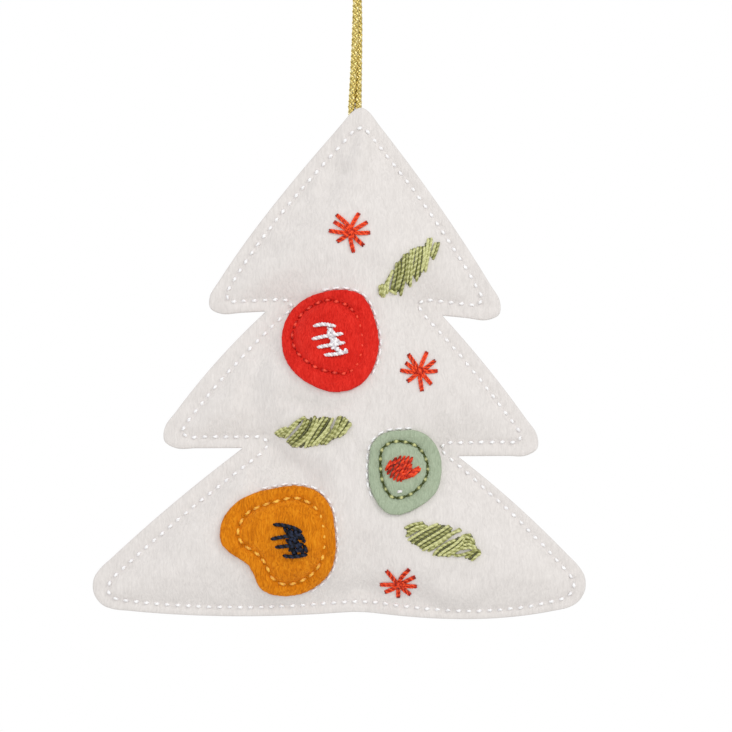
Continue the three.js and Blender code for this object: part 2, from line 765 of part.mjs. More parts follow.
// A star is a flat satin-stitched shape with eight rays of unlike length
function star(centre, size) {
  const outline = [];
  starRayShares.forEach(([direction, reachShare], i) => {
    const last = i === starRayShares.length - 1;
    const next = last ? starRayShares[0][0] + 360 : starRayShares[i + 1][0];
    const angle = THREE.MathUtils.degToRad(direction);
    const ray = new THREE.Vector2(Math.cos(angle), Math.sin(angle));
    const tip = centre.clone().addScaledVector(ray, starRadius * size * reachShare);
    outline.push(tip.clone().addScaledVector(leftOf(ray), -starRayWidth / 2));
    outline.push(tip.clone().addScaledVector(leftOf(ray), starRayWidth / 2));
    const between = THREE.MathUtils.degToRad((direction + next) / 2);
    const opening = Math.min(next - direction, 90);
    const valley = starRayWidth / 2 / Math.sin(THREE.MathUtils.degToRad(opening) / 2);
    const inward = new THREE.Vector2(Math.cos(between), Math.sin(between));
    outline.push(centre.clone().addScaledVector(inward, valley));
  });
  const count = outline.length;
  const points = [...outline, ...outline.map((p) => p.clone().lerp(centre, 1 / 2)), centre];
  const triangles = outline.flatMap((p, i) => {
    const next = (i + 1) % count;
    return [
      [i, next, count + next],
      [i, count + next, count + i],
      [count + i, count + next, 2 * count],
    ];
  });
  const rear = (x, z) => frontFace(x, z) - starRise;
  return sheetSolid(points, triangles, (x, z) => rear(x, z) - starThickness, rear);
}

// The cord: a round section taken along its route
function cordSolid(points, steps) {
  const section = new THREE.Shape();
  section.absarc(0, 0, cordDiameter / 2, 0, 2 * Math.PI, false);
  return new THREE.ExtrudeGeometry(section, {
    steps,
    curveSegments: cordSides / 2,
    bevelEnabled: false,
    extrudePath: new THREE.CatmullRomCurve3(points),
  });
}

function toManifold(geometry) {
  const plain = geometry.index ? geometry.toNonIndexed() : geometry.clone();
  plain.deleteAttribute("normal");
  plain.deleteAttribute("uv");
  const merged = mergeVertices(plain, weldDistance);
  return new wasm.Manifold(
    new wasm.Mesh({
      numProp: 3,
      vertProperties: merged.attributes.position.array,
      triVerts: new Uint32Array(merged.index.array),
    }),
  );
}

function fromManifold(solid) {
  const mesh = solid.getMesh();
  const geometry = new THREE.BufferGeometry();
  geometry.setAttribute("position", new THREE.BufferAttribute(mesh.vertProperties, 3));
  geometry.setIndex(new THREE.BufferAttribute(mesh.triVerts, 1));
  geometry.computeVertexNormals();
  return geometry;
}

// The cord's two ends run between the panels into one knot, and their cut tails show below it
const tailEnd = tipHeight - knotDrop - (knotShares[2] * cordDiameter) / 2 - tailLength;
function cordTails() {
  const knotPlace = new THREE.Vector3(cordMiddle, 0, tipHeight - knotDrop);
  const knot = new THREE.SphereGeometry(1 / 2, ...knotSegments);
  knot.scale(...knotShares.map((share) => share * cordDiameter)).translate(...knotPlace);
  let joined = toManifold(knot);
  for (const strand of [leftStrand, rightStrand]) {
    const spread = strand.x - cordMiddle;
    const route = [
      new THREE.Vector3(strand.x, 0, tipHeight),
      new THREE.Vector3(strand.x, 0, tipHeight - knotDrop / 2),
      new THREE.Vector3(strand.x, 0, knotPlace.z),
      new THREE.Vector3(strand.x + spread / 2, 0, tailEnd),
    ];
    joined = joined.add(toManifold(cordSolid(route, tailSteps)));
  }
  return fromManifold(joined);
}

const materials = {
  whiteFelt: { color: "#e5e2df", roughness: 0.95, metalness: 0 },
  redFelt: { color: "#df3028", roughness: 0.95, metalness: 0 },
  sageFelt: { color: "#a9b997", roughness: 0.95, metalness: 0 },
  mustardFelt: { color: "#d8820f", roughness: 0.95, metalness: 0 },
  fibreFilling: { color: "#f2f0ec", roughness: 1, metalness: 0 },
  whiteThread: { color: "#f7f5f6", roughness: 0.35, metalness: 0 },
  redThread: { color: "#c3201c", roughness: 0.4, metalness: 0 },
  oliveThread: { color: "#6d7630", roughness: 0.4, metalness: 0 },
  goldenThread: { color: "#f0a52c", roughness: 0.4, metalness: 0 },
  coralThread: { color: "#f0452a", roughness: 0.4, metalness: 0 },
  navyThread: { color: "#1c2438", roughness: 0.4, metalness: 0 },
  leafThread: { color: "#8a9440", roughness: 0.35, metalness: 0 },
  goldCord: { color: "#d0b050", roughness: 0.3, metalness: 0.9 },
};

const ornament = new THREE.Group();
function addPiece(name, geometry, material) {
  const mesh = new THREE.Mesh(geometry, new THREE.MeshStandardMaterial(materials[material]));
  mesh.name = name;
  ornament.add(mesh);
}

// The panels mirror each other. The filling uses the same net, so it keeps an even gap to both.
const panelInner = (x, z, k) => innerFace + netLift[k];
const panelOuter = (x, z, k) => outerFace + netLift[k];
const negative = (face) => (x, z, k) => -face(x, z, k);
const frontPanel = sheetSolid(netPoints, netTriangles, negative(panelOuter), negative(panelInner));
addPiece("front_panel", frontPanel, "whiteFelt");
addPiece("back_panel", sheetSolid(netPoints, netTriangles, panelInner, panelOuter), "whiteFelt");

const fillingTriangles = trianglesInside(fillingRing).filter((t) =>
  t.every((k) => k >= sewnPoints.length && netPoints[k].y < tailEnd - cordDiameter),
);
const fillingFace = (x, z, k) => netLift[k] - layerGap;
const fillingPad = sheetSolid(netPoints, fillingTriangles, negative(fillingFace), fillingFace);
addPiece("filling", fillingPad, "fibreFilling");

addPiece("hanging_cord", cordSolid(cordRoute, cordSteps), "goldCord");
addPiece("cord_tails", cordTails(), "goldCord");

const frontSeam = laidOn(seamRing, frontFace, edgeThread);
const backSeam = frontSeam.map((p) => new THREE.Vector3(p.x, -p.y, p.z));
const seamRadii = frontSeam.map(() => edgeThread / 2);
addPiece("edge_stitch_front", threadSolid(frontSeam, seamRadii, -1, true), "whiteThread");
addPiece("edge_stitch_back", threadSolid(backSeam, seamRadii, 1, true), "whiteThread");

addPiece("red_patch", patchSolid(redPatch), "redFelt");
addPiece("green_patch", patchSolid(greenPatch), "sageFelt");
addPiece("mustard_patch", patchSolid(mustardPatch), "mustardFelt");
addPiece("red_patch_stitch", patchStitch(redPatch, redStitchInset), "redThread");
addPiece("green_patch_stitch", patchStitch(greenPatch, greenStitchInset), "oliveThread");
addPiece("mustard_patch_stitch", patchStitch(mustardPatch, mustardStitchInset), "goldenThread");
addPiece("white_scribble", scribble(redPatch, whiteScribbleShares), "whiteThread");
addPiece("coral_scribble", scribble(greenPatch, coralScribbleShares), "coralThread");
addPiece("navy_scribble", scribble(mustardPatch, navyScribbleShares), "navyThread");
addPiece("red_placement_stitch", placementStitch(redPatch, redTurnShares), "whiteThread");
addPiece("green_placement_stitch", placementStitch(greenPatch, greenTurnShares), "whiteThread");
addPiece("mustard_placement_stitch", placementStitch(mustardPatch, mustardTurnShares), "whiteThread");
for (const [name, shares] of Object.entries(leafShares)) addPiece(name, leaf(shares), "leafThread");
for (const [name, { place, size }] of Object.entries(starShares)) {
  addPiece(name, star(treePoint(...place), size), "coralThread");
}
const lowestStar = treePoint(lowestStarShares.across, 0);
lowestStar.y = hemSeamAt(lowestStar.x) + starHemGap + starRadius * lowestStarShares.size;
addPiece("star_bottom", star(lowestStar, lowestStarShares.size), "coralThread");

export default ornament;
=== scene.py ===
import math
import bmesh
import bpy
import numpy as np
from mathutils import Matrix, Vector, geometry, kdtree, noise
from mathutils.bvhtree import BVHTree


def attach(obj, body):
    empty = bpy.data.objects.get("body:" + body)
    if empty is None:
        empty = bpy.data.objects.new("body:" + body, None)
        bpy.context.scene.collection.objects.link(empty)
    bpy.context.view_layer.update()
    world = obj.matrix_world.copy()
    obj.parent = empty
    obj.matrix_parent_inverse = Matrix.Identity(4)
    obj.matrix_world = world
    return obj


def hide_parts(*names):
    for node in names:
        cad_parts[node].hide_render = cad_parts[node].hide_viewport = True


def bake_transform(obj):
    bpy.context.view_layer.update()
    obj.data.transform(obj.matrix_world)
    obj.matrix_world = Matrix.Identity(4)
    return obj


for startupName in ("Cube", "Light", "Camera"):  # what a new Blender file holds
    if startupName in bpy.data.objects:
        bpy.data.objects.remove(bpy.data.objects[startupName])
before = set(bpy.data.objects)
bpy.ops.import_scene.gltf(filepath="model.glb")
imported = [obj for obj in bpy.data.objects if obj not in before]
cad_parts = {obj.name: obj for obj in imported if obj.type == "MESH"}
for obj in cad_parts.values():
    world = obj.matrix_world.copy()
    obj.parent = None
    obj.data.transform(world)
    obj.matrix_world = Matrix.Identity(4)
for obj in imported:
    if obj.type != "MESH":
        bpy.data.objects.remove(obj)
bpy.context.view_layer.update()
bpy.ops.object.select_all(action="DESELECT")

mm = 0.001


# Colours and materials

def linear(hexColour):  # sRGB hex to the linear values that Blender's sockets hold
    parts = [int(hexColour[i:i + 2], 16) / 255 for i in (1, 3, 5)]
    return tuple(c / 12.92 if c <= 0.04045 else ((c + 0.055) / 1.055) ** 2.4 for c in parts) + (1.0,)


def addNode(tree, kind, settings=None, inputs=None):  # a node with its settings, values and links
    node = tree.nodes.new(kind)
    for name, value in (settings or {}).items():
        setattr(node, name, value)
    for name, value in (inputs or {}).items():
        if isinstance(value, bpy.types.NodeSocket):
            tree.links.new(value, node.inputs[name])
        else:
            node.inputs[name].default_value = value
    return node


def newMaterial(name, shader):  # an empty node material with its shader and output
    material = bpy.data.materials.new(name)
    material.use_nodes = True
    tree = material.node_tree
    tree.nodes.clear()
    principled = addNode(tree, "ShaderNodeBsdfPrincipled", {}, shader)
    addNode(tree, "ShaderNodeOutputMaterial", {}, {"Surface": principled.outputs[0]})
    return material, tree, principled


# A surface's colours run with its tone through the stops, which are (place, colour), and it rises with the
# height by up to the depth
def dressShader(tree, shader, tone, stops, height, strength, depth):
    ramp = addNode(tree, "ShaderNodeValToRGB", {}, {"Fac": tone})
    elements = ramp.color_ramp.elements
    while len(elements) < len(stops):
        elements.new(0.5)
    for element, (place, colour) in zip(elements, stops):
        element.position = place
        element.color = linear(colour)
    bump = addNode(tree, "ShaderNodeBump", {}, {"Height": height, "Strength": strength, "Distance": depth})
    tree.links.new(ramp.outputs["Color"], shader.inputs["Base Color"])
    tree.links.new(bump.outputs[0], shader.inputs["Normal"])


# Wool and viscose needle felt: matted crimped fibres, brushed, with a soft halo of light on every slope.
# The fibres lie three ways: turned by these degrees, that much coarser and with that share of the relief.
def makeFelt(name, dark, middle, light, lean, fibre, hairy):
    material, tree, shader = newMaterial(name, {
        "Roughness": 0.96, "IOR": 1.45, "Specular IOR Level": 0.12, "Sheen Weight": 0.12,
        "Sheen Roughness": 0.45})
    place = addNode(tree, "ShaderNodeTexCoord").outputs["Object"]
    warp = addNode(tree, "ShaderNodeTexNoise", {}, {"Vector": place, "Scale": 1 / (3.0 * mm), "Detail": 2.0})
    bend = addNode(tree, "ShaderNodeVectorMath", {"operation": "MULTIPLY_ADD"}, {
        0: warp.outputs["Color"], 1: (1.6 * mm,) * 3, 2: place})
    matted = 0.0
    for turn, coarser, share in ((0, 1.0, 1.0), (38, 1.4, 0.6), (-61, 1.2, 0.45)):
        laid = addNode(tree, "ShaderNodeMapping", {}, {
            "Vector": bend.outputs[0], "Rotation": (0, math.radians(lean + turn), 0), "Scale": (1, 1, 0.17)})
        fibres = addNode(tree, "ShaderNodeTexNoise", {}, {
            "Vector": laid.outputs[0], "Scale": 1 / (fibre * coarser), "Detail": 3.0, "Roughness": 0.62})
        matted = addNode(tree, "ShaderNodeMath", {"operation": "MULTIPLY_ADD"}, {
            0: fibres.outputs["Fac"], 1: share, 2: matted}).outputs[0]
    even = addNode(tree, "ShaderNodeMapRange", {}, {"Value": matted, "From Min": 0.75, "From Max": 1.32})
    clumps = addNode(tree, "ShaderNodeTexNoise", {}, {
        "Vector": place, "Scale": 1 / (4.0 * mm), "Detail": 4.0, "Roughness": 0.6})
    tone = addNode(tree, "ShaderNodeMix", {"data_type": "FLOAT"}, {
        0: 0.45, 2: even.outputs[0], 3: clumps.outputs["Fac"]})
    dressShader(tree, shader, tone.outputs[0], ((0.2, dark), (0.5, middle), (0.8, light)), even.outputs[0],
                hairy, 0.25 * mm)
    return material


# A yarn's fibres follow its route. Its tone mixes theirs with that of each length of yarn by the share; on
# threads that length's tone carries the painted highlight and shade of its stitches.
def addYarn(tree, stretch, detail, roughness, share):
    route = addNode(tree, "ShaderNodeUVMap", {"uv_map": "thread"})
    laid = addNode(tree, "ShaderNodeMapping", {}, {"Vector": route.outputs[0], "Scale": stretch})
    fibres = addNode(tree, "ShaderNodeTexNoise", {}, {
        "Vector": laid.outputs[0], "Scale": 1.0, "Detail": detail, "Roughness": roughness}).outputs["Fac"]
    length = addNode(tree, "ShaderNodeAttribute", {"attribute_name": "tone"}).outputs["Fac"]
    tone = addNode(tree, "ShaderNodeMix", {"data_type": "FLOAT"}, {0: share, 2: fibres, 3: length})
    return fibres, tone.outputs[0]


# Polyester embroidery thread: continuous glossy filaments laid along it, so a highlight reaches round the
# thread but is short along it, and each stitch has a bright spot on its crest, partly from that highlight and
# partly a painted highlight in its tone, which also holds painted shade at the stitch's ends
def makeThread(name, dark, middle, light, roughness, shine):
    material, tree, shader = newMaterial(name, {
        "Roughness": roughness, "IOR": 1.6, "Specular IOR Level": shine, "Anisotropic": 0.85,
        "Anisotropic Rotation": 0.25})
    tangent = addNode(tree, "ShaderNodeTangent", {"direction_type": "UV_MAP", "uv_map": "thread"})
    tree.links.new(tangent.outputs[0], shader.inputs["Tangent"])
    filaments, tone = addYarn(tree, (1 / (1.1 * mm), 11, 1), 2.0, 0.55, 0.6)
    dressShader(tree, shader, tone, ((0.25, dark), (0.5, middle), (0.75, light)), filaments, 0.35, 0.05 * mm)
    return material


# Metallised polyester film slit into flat yarn: mirror bright where a yarn faces the light, dark where not
def makeFilmYarn(name):
    material, tree, shader = newMaterial(name, {"Metallic": 1.0, "Roughness": 0.34})
    crinkle, tone = addYarn(tree, (1 / (0.35 * mm), 3, 1), 3.0, 0.6, 0.4)
    stops = ((0.25, "#b09a4c"), (0.5, "#e6d280"), (0.75, "#fffadc"))
    dressShader(tree, shader, tone, stops, crinkle, 0.8, 0.12 * mm)
    return material


# Loose polyester fibre fill: pale, matt and cloudy
def makeFibreFill(name):
    material, tree, shader = newMaterial(name, {"Roughness": 1.0, "IOR": 1.45, "Specular IOR Level": 0.1})
    place = addNode(tree, "ShaderNodeTexCoord")
    tufts = addNode(tree, "ShaderNodeTexNoise", {}, {
        "Vector": place.outputs["Object"], "Scale": 1 / (2.5 * mm), "Detail": 6.0, "Roughness": 0.7})
    stops = ((0.3, "#dedad2"), (0.7, "#f7f5f1"))
    dressShader(tree, shader, tufts.outputs["Fac"], stops, tufts.outputs["Fac"], 0.8, 0.6 * mm)
    return material


materials = {  # by the record's material slots
    "white_felt": makeFelt("white_wool_felt", "#d9d4d0", "#e2ddd9", "#eae5e1", 5, 0.42 * mm, 0.28),
    "red_felt": makeFelt("red_wool_felt", "#c01810", "#de2a20", "#f03c30", 15, 0.26 * mm, 0.5),
    "sage_felt": makeFelt("sage_wool_felt", "#98a68c", "#a8b69c", "#b6c4aa", 20, 0.3 * mm, 0.45),
    "mustard_felt": makeFelt("mustard_wool_felt", "#b05e06", "#da7e0e", "#f09a20", 8, 0.34 * mm, 0.6),
    "white_thread": makeThread("white_polyester_thread", "#d8d0d4", "#e9e5e7", "#ffffff", 0.36, 0.7),
    "red_thread": makeThread("red_polyester_thread", "#820404", "#c4160c", "#ff5238", 0.38, 0.3),
    "olive_thread": makeThread("olive_polyester_thread", "#363f14", "#535d26", "#d2d492", 0.4, 0.4),
    "golden_thread": makeThread("golden_polyester_thread", "#8a4a06", "#dc8c10", "#ffc43c", 0.36, 0.6),
    "coral_thread": makeThread("coral_polyester_thread", "#6a0a00", "#d02a06", "#ff5420", 0.42, 0.25),
    "navy_thread": makeThread("navy_polyester_thread", "#060608", "#12141e", "#242c42", 0.5, 0.15),
    "leaf_thread": makeThread("leaf_green_polyester_thread", "#4a4c08", "#888a34", "#d4d592", 0.34, 0.8),
    "gold_cord": makeFilmYarn("gold_metallised_film_yarn"),
    "fibre_filling": makeFibreFill("polyester_fibre_fill"),
}
print("materials are ready")


# The camera stands where the photographer's stood: level, straight in front

shot = {
    "pixels": 732,  # the photograph's width and height
    "pixelSize": 0.25 * mm,  # what one pixel spans in the plane of the panels
    "distance": 0.8,  # from the camera to that plane
    "across": 2.175 * mm,  # the middle of the photograph's frame, in the plane
    "height": -144.5 * mm,
    "sensor": 36.0,  # in millimetres, as Blender's cameras have it
}


def addCamera():
    place = (shot["across"], -shot["distance"], shot["height"])
    bpy.ops.object.camera_add(location=place, rotation=(math.radians(90), 0, 0))
    camera = bpy.context.object
    camera.name = "photographer"
    camera.data.sensor_width = shot["sensor"]
    camera.data.lens = shot["sensor"] * shot["distance"] / (shot["pixels"] * shot["pixelSize"])
    camera.data.clip_start = 0.05
    bpy.context.scene.camera = camera


addCamera()


# The place in the plane of the panels that lies behind a pixel, for something that stands proud by that much
def fromPhoto(pixels, proud=0.0):
    pixels = np.asarray(pixels, float)
    nearer = shot["pixelSize"] * (1 - np.asarray(proud) / shot["distance"])
    x = shot["across"] + (pixels[..., 0] - shot["pixels"] / 2) * nearer
    z = shot["height"] - (pixels[..., 1] - shot["pixels"] / 2) * nearer
    return np.stack([x, z], axis=-1)


# Lines of points

def unit(vectors):  # the same directions with a length of 1
    return vectors / np.linalg.norm(vectors, axis=1)[:, None]


def distancesAlong(line):  # from a line's start to each of its points
    return np.concatenate([[0], np.cumsum(np.linalg.norm(np.diff(line, axis=0), axis=1))])


def between(stops, along, line):  # a line's places at the stops, where its points lie at the values in along
    return np.stack([np.interp(stops, along, column) for column in line.T], axis=1)


def signedArea(ring):  # of a closed ring, positive where it turns to the left
    after = np.roll(ring, -1, axis=0)
    return np.sum(ring[:, 0] * after[:, 1] - ring[:, 1] * after[:, 0]) / 2


def standing(points, y):  # places in the plane of the panels, moved out of it to y
    return np.stack([points[:, 0], y, points[:, 1]], axis=1)


# A smooth line through points, with 12 places between each two. A notch, where a closed line turns
# sharply inwards, stays a corner.
def throughPoints(points, closed=False):
    points = np.asarray(points, float)
    count = len(points)
    notched = notches(points) if closed and points.shape[1] == 2 else np.zeros(count, bool)
    if closed:
        wrapped = np.concatenate([points[-1:], points, points[:2]])
    else:
        wrapped = np.concatenate([2 * points[:1] - points[1:2], points, 2 * points[-1:] - points[-2:-1]])
    pieces = []
    t = np.linspace(0, 1, 12, endpoint=False)[:, None]
    for i in range(count if closed else count - 1):
        p0, p1, p2, p3 = wrapped[i:i + 4]
        if notched[i]:
            p0 = 2 * p1 - p2
        if notched[(i + 1) % count]:
            p3 = 2 * p2 - p1
        d0, d1, d2 = (max(math.sqrt(np.linalg.norm(b - a)), 1e-5) for a, b in ((p0, p1), (p1, p2), (p2, p3)))
        leave = ((p1 - p0) / d0 - (p2 - p0) / (d0 + d1) + (p2 - p1) / d1) * d1
        arrive = ((p2 - p1) / d1 - (p3 - p1) / (d1 + d2) + (p3 - p2) / d2) * d1
        square, cube = t ** 2, t ** 3
        pieces.append((2 * cube - 3 * square + 1) * p1 + (cube - 2 * square + t) * leave
                      + (3 * square - 2 * cube) * p2 + (cube - square) * arrive)
    pieces.append(points[:1] if closed else points[-1:])
    return np.concatenate(pieces)


def notches(ring, most=25):  # where a closed ring turns inwards by more degrees than that
    before, after = ring - np.roll(ring, 1, axis=0), np.roll(ring, -1, axis=0) - ring
    turn = np.arctan2(before[:, 0] * after[:, 1] - before[:, 1] * after[:, 0], np.sum(before * after, axis=1))
    return turn * np.sign(np.sum(turn)) < -math.radians(most)


def sharpened(ring):  # a cut edge whose rounded notches are corners, as scissors leave them
    inwards = notches(ring, 6)
    count = len(ring)
    first = int(np.argmin(inwards))
    points, k = [], first
    while k < first + count:
        last = k
        while inwards[last % count] and inwards[(last + 1) % count]:
            last += 1
        if inwards[k % count] and last > k:
            a, b, c, d = (ring[i % count] for i in (k - 1, k, last, last + 1))
            share = np.linalg.solve(np.stack([b - a, c - d], axis=1), d - a)[0]
            points.append(a + (b - a) * share)
        else:
            points.append(ring[k % count])
        k = last + 1
    return np.array(points)


def evenly(line, step, closed=False):  # a closed line comes with its start repeated and goes without
    along = distancesAlong(line)
    count = max(2, int(round(along[-1] / step)))
    stops = np.linspace(0, along[-1], count + (0 if closed else 1), endpoint=not closed)
    return between(stops, along, line)


def smoothLine(points, step, closed=False):
    return evenly(throughPoints(points, closed), step, closed)


def outwards(ring):  # directions out of a closed ring in the plane, at each of its points
    along = unit(np.roll(ring, -1, axis=0) - np.roll(ring, 1, axis=0))
    return np.stack([along[:, 1], -along[:, 0]], axis=1) * np.sign(signedArea(ring))


def isInside(ring, points):  # which points lie inside a closed ring
    a, b = ring, np.roll(ring, -1, axis=0)
    inside = np.zeros(len(points), bool)
    for k in range(0, len(points), 4000):  # not all at once, to spare memory
        x, z = points[k:k + 4000, 0:1], points[k:k + 4000, 1:2]
        crosses = (a[:, 1] > z) != (b[:, 1] > z)
        rise = np.where(b[:, 1] == a[:, 1], 1e-12, b[:, 1] - a[:, 1])
        where = a[:, 0] + (b[:, 0] - a[:, 0]) * (z - a[:, 1]) / rise
        inside[k:k + 4000] = np.sum(crosses & (x < where), axis=1) % 2 == 1
    return inside


class NearLine:  # finds the nearest point of a dense line and which stitch it belongs to
    def __init__(self, line, stitches):
        self.tree = kdtree.KDTree(len(line))
        for i, p in enumerate(line):
            self.tree.insert((p[0], p[1], 0), i)
        self.tree.balance()
        self.stitches = stitches

    def __call__(self, points):  # distances, and places along the line in stitches
        found = [self.tree.find((p[0], p[1], 0)) for p in points]
        return np.array([f[2] for f in found]), self.stitches[[f[1] for f in found]]


# Lines read from the CAD nodes, so that the soft pieces lie where the frame has them

def merged(nodeName):  # a copy of a node's mesh with its loose triangles joined
    mesh = bmesh.new()
    mesh.from_mesh(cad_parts[nodeName].data)
    bmesh.ops.remove_doubles(mesh, verts=mesh.verts, dist=0.002 * mm)
    mesh.normal_update()
    return mesh


def chained(links):  # the keys of a dictionary of neighbours, in the order of the line that they form
    ends = [k for k, v in links.items() if len(v) == 1]
    line = [ends[0] if ends else next(iter(links))]
    while True:
        onward = [k for k in links[line[-1]] if k not in line[-3:] and (len(line) < 3 or k != line[0])]
        if not onward or onward[0] in line[:2]:
            return line
        line.append(onward[0])


def cutEdge(nodeName):  # where a felt piece's flat rim meets its front face
    mesh = merged(nodeName)
    links = {}
    for edge in mesh.edges:
        across = sorted(f.normal.y for f in edge.link_faces)
        if len(across) == 2 and across[0] < -0.3 and abs(across[1]) < 0.02:
            a, b = (v.index for v in edge.verts)
            links.setdefault(a, []).append(b)
            links.setdefault(b, []).append(a)
    mesh.verts.ensure_lookup_table()
    ring = np.array([(mesh.verts[k].co.x, mesh.verts[k].co.z) for k in chained(links)])
    mesh.free()
    return ring


# The middle line of a thread's solid in the plane, from its rings of corners, whose sides are shorter than
# the thread is thick
def threadRoute(nodeName, thick):
    mesh = merged(nodeName)
    ringOf = {}
    rings = []
    for vert in mesh.verts:
        if vert.index in ringOf:
            continue
        group, waiting = [], [vert]
        ringOf[vert.index] = len(rings)
        while waiting:
            here = waiting.pop()
            group.append(here)
            for edge in here.link_edges:
                other = edge.other_vert(here)
                if other.index not in ringOf and edge.calc_length() < thick:
                    ringOf[other.index] = len(rings)
                    waiting.append(other)
        rings.append(np.mean([v.co for v in group], axis=0))
    links = {k: [] for k in range(len(rings))}
    for edge in mesh.edges:
        a, b = (ringOf[v.index] for v in edge.verts)
        if a != b and b not in links[a]:
            links[a].append(b)
            links[b].append(a)
    mesh.free()
    return np.array([rings[k] for k in chained(links)])[:, [0, 2]]


# Meshes

# A piece with the material of its slot. One that stands for a CAD node rides on the tree.
def newPiece(name, verts, faces, slotName, nodeName=None, uv=None, tone=None):
    mesh = bpy.data.meshes.new(name)
    mesh.from_pydata(np.asarray(verts).tolist(), [], faces)
    mesh.materials.append(materials[slotName])
    if uv is not None:
        mesh.uv_layers.new(name="thread").data.foreach_set("uv", np.asarray(uv, np.float32).ravel())
        mesh.attributes.new("tone", "FLOAT", "POINT").data.foreach_set("value", np.asarray(tone, np.float32))
    mesh.shade_smooth()
    mesh.update()
    piece = bpy.data.objects.new(name, mesh)
    bpy.context.collection.objects.link(piece)
    if nodeName:
        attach(piece, "tree")
        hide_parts(nodeName)
    return piece


def directionsAlong(line, facing=-1):  # along a line, from it towards the front or the back, and aside
    along = unit(np.gradient(line, axis=0))
    up = np.array([0.0, facing, 0.0]) - along * (along[:, 1:2] * facing)
    up /= np.maximum(np.linalg.norm(up, axis=1), 1e-6)[:, None]
    return along, up, np.cross(along, up)


class Skein:  # gathers lengths of twisted or braided yarn into one mesh
    sides = 6  # of each ply

    def __init__(self, seed):
        self.random = np.random.default_rng(seed)
        self.verts, self.faces, self.uv, self.tone = [], [], [], []
        self.count = 0

    def strand(self, middle, up, aside, thick, wide, tone):  # thick and wide are half its thickness and width
        count, sides = len(middle), self.sides
        angles = np.arange(sides) * 2 * math.pi / sides
        ring = (np.cos(angles)[None, :, None] * up[:, None, :] * thick[:, None, None]
                + np.sin(angles)[None, :, None] * aside[:, None, :] * wide[:, None, None])
        self.verts.append((middle[:, None, :] + ring).reshape(-1, 3))
        along = distancesAlong(middle) + self.random.uniform(0, 1)
        for i in range(count - 1):
            here, there = self.count + i * sides, self.count + (i + 1) * sides
            for k in range(sides):
                after = (k + 1) % sides
                self.faces.append((here + k, here + after, there + after, there + k))
                self.uv += [(along[i], k / sides), (along[i], (k + 1) / sides),
                            (along[i + 1], (k + 1) / sides), (along[i + 1], k / sides)]
        last = self.count + (count - 1) * sides
        self.faces.append(tuple(self.count + k for k in reversed(range(sides))))
        self.faces.append(tuple(last + k for k in range(sides)))
        self.uv += [(along[0], 0)] * sides + [(along[-1], 0)] * sides
        self.tone.append(np.repeat(np.broadcast_to(tone, count), sides))
        self.count += count * sides

    # plies wound round a line: lay is the length of one turn, relief how far the plies' middles lie from the
    # line as a share of the radius, and a contrast between the plies' tones paints light on one and shade on
    # the next. The tone is also scaled below 1, as painted shade, where the thread lies in the shadow of its
    # hole and beside the painted highlight on its crest.
    def twist(self, line, radii, plies, lay, relief=0.4, paintedPlyContrast=0.0, tones=(0.4, 0.9), facing=-1, paintedLight=1.0):
        up, aside = directionsAlong(line, facing)[1:]
        distance = distancesAlong(line)
        start = self.random.uniform(0, 2 * math.pi)
        base = self.random.uniform(*tones)
        for ply in range(plies):
            tone = (base + paintedPlyContrast * (-1) ** ply) * np.asarray(paintedLight)
            turn = start + 2 * math.pi * (distance / lay + ply / plies)
            out = np.cos(turn)[:, None] * up + np.sin(turn)[:, None] * aside
            half = radii * (1.05 - relief)
            self.strand(line + out * (radii * relief)[:, None], up, aside, half, half, tone)

    def piece(self, name, slotName, nodeName=None):
        verts, tone = np.concatenate(self.verts), np.concatenate(self.tone)
        return newPiece(name, verts, self.faces, slotName, nodeName, self.uv, tone)


# The hanging cord: a round braid of eight flat gold yarns, 1.6 mm through. Both strands of the loop are
# one cord, which leaves the tip, turns over the hook and comes back, half twisted with itself.

tipHeight = -80 * mm
cord = {
    "diameter": 1.6 * mm,
    "yarns": 4,  # that wind each way
    "turn": 5.6 * mm,  # length of one yarn's turn round the cord
    "yarnWidth": 0.74 * mm,
    "yarnThickness": 0.3 * mm,
    "sunk": 0.6,  # how far a yarn's middle lies under the cord's surface, in its thicknesses
    "over": 0.45,  # how far it rises where it crosses over another, in its thicknesses
    "crimp": 0.06,  # unevenness of that, in its thicknesses
    "tilt": 3,  # how much the crimp turns it
    "tones": (0.2, 0.8),
    "step": 0.2 * mm,
}
cordRoute = [[x * mm, y * mm, z * mm] for x, y, z in (
    (-1.45, 0, -79.7), (-1.05, -0.54, -73), (-0.68, -0.69, -65.5), (-0.46, -0.77, -59),
    (-0.3, -0.82, -53), (0, -0.88, -42), (0.44, -0.76, -34), (0.77, -0.44, -26), (0.95, -0.15, -19),
    (1.6, 0, -13), (2.8, 0, -8), (3.75, 0, -4.5), (3.95, 0, -2.6), (3.2, 0, -0.8), (1.7, 0, 0.42),
    (0, 0, 0.8), (-1.7, 0, 0.42), (-3.2, 0, -0.8), (-3.95, 0, -2.6), (-3.75, 0, -4.5), (-2.8, 0, -8),
    (-1.6, 0, -13), (-0.95, 0.15, -19), (-0.77, 0.44, -26), (-0.44, 0.76, -34), (0, 0.88, -42),
    (0.3, 0.82, -53), (0.43, 0.77, -59), (0.4, 0.69, -65.5), (0.3, 0.54, -73), (0.25, 0, -79.7))]
cordMiddle = (cordRoute[0][0] + cordRoute[-1][0]) / 2  # across, where its two ends go in


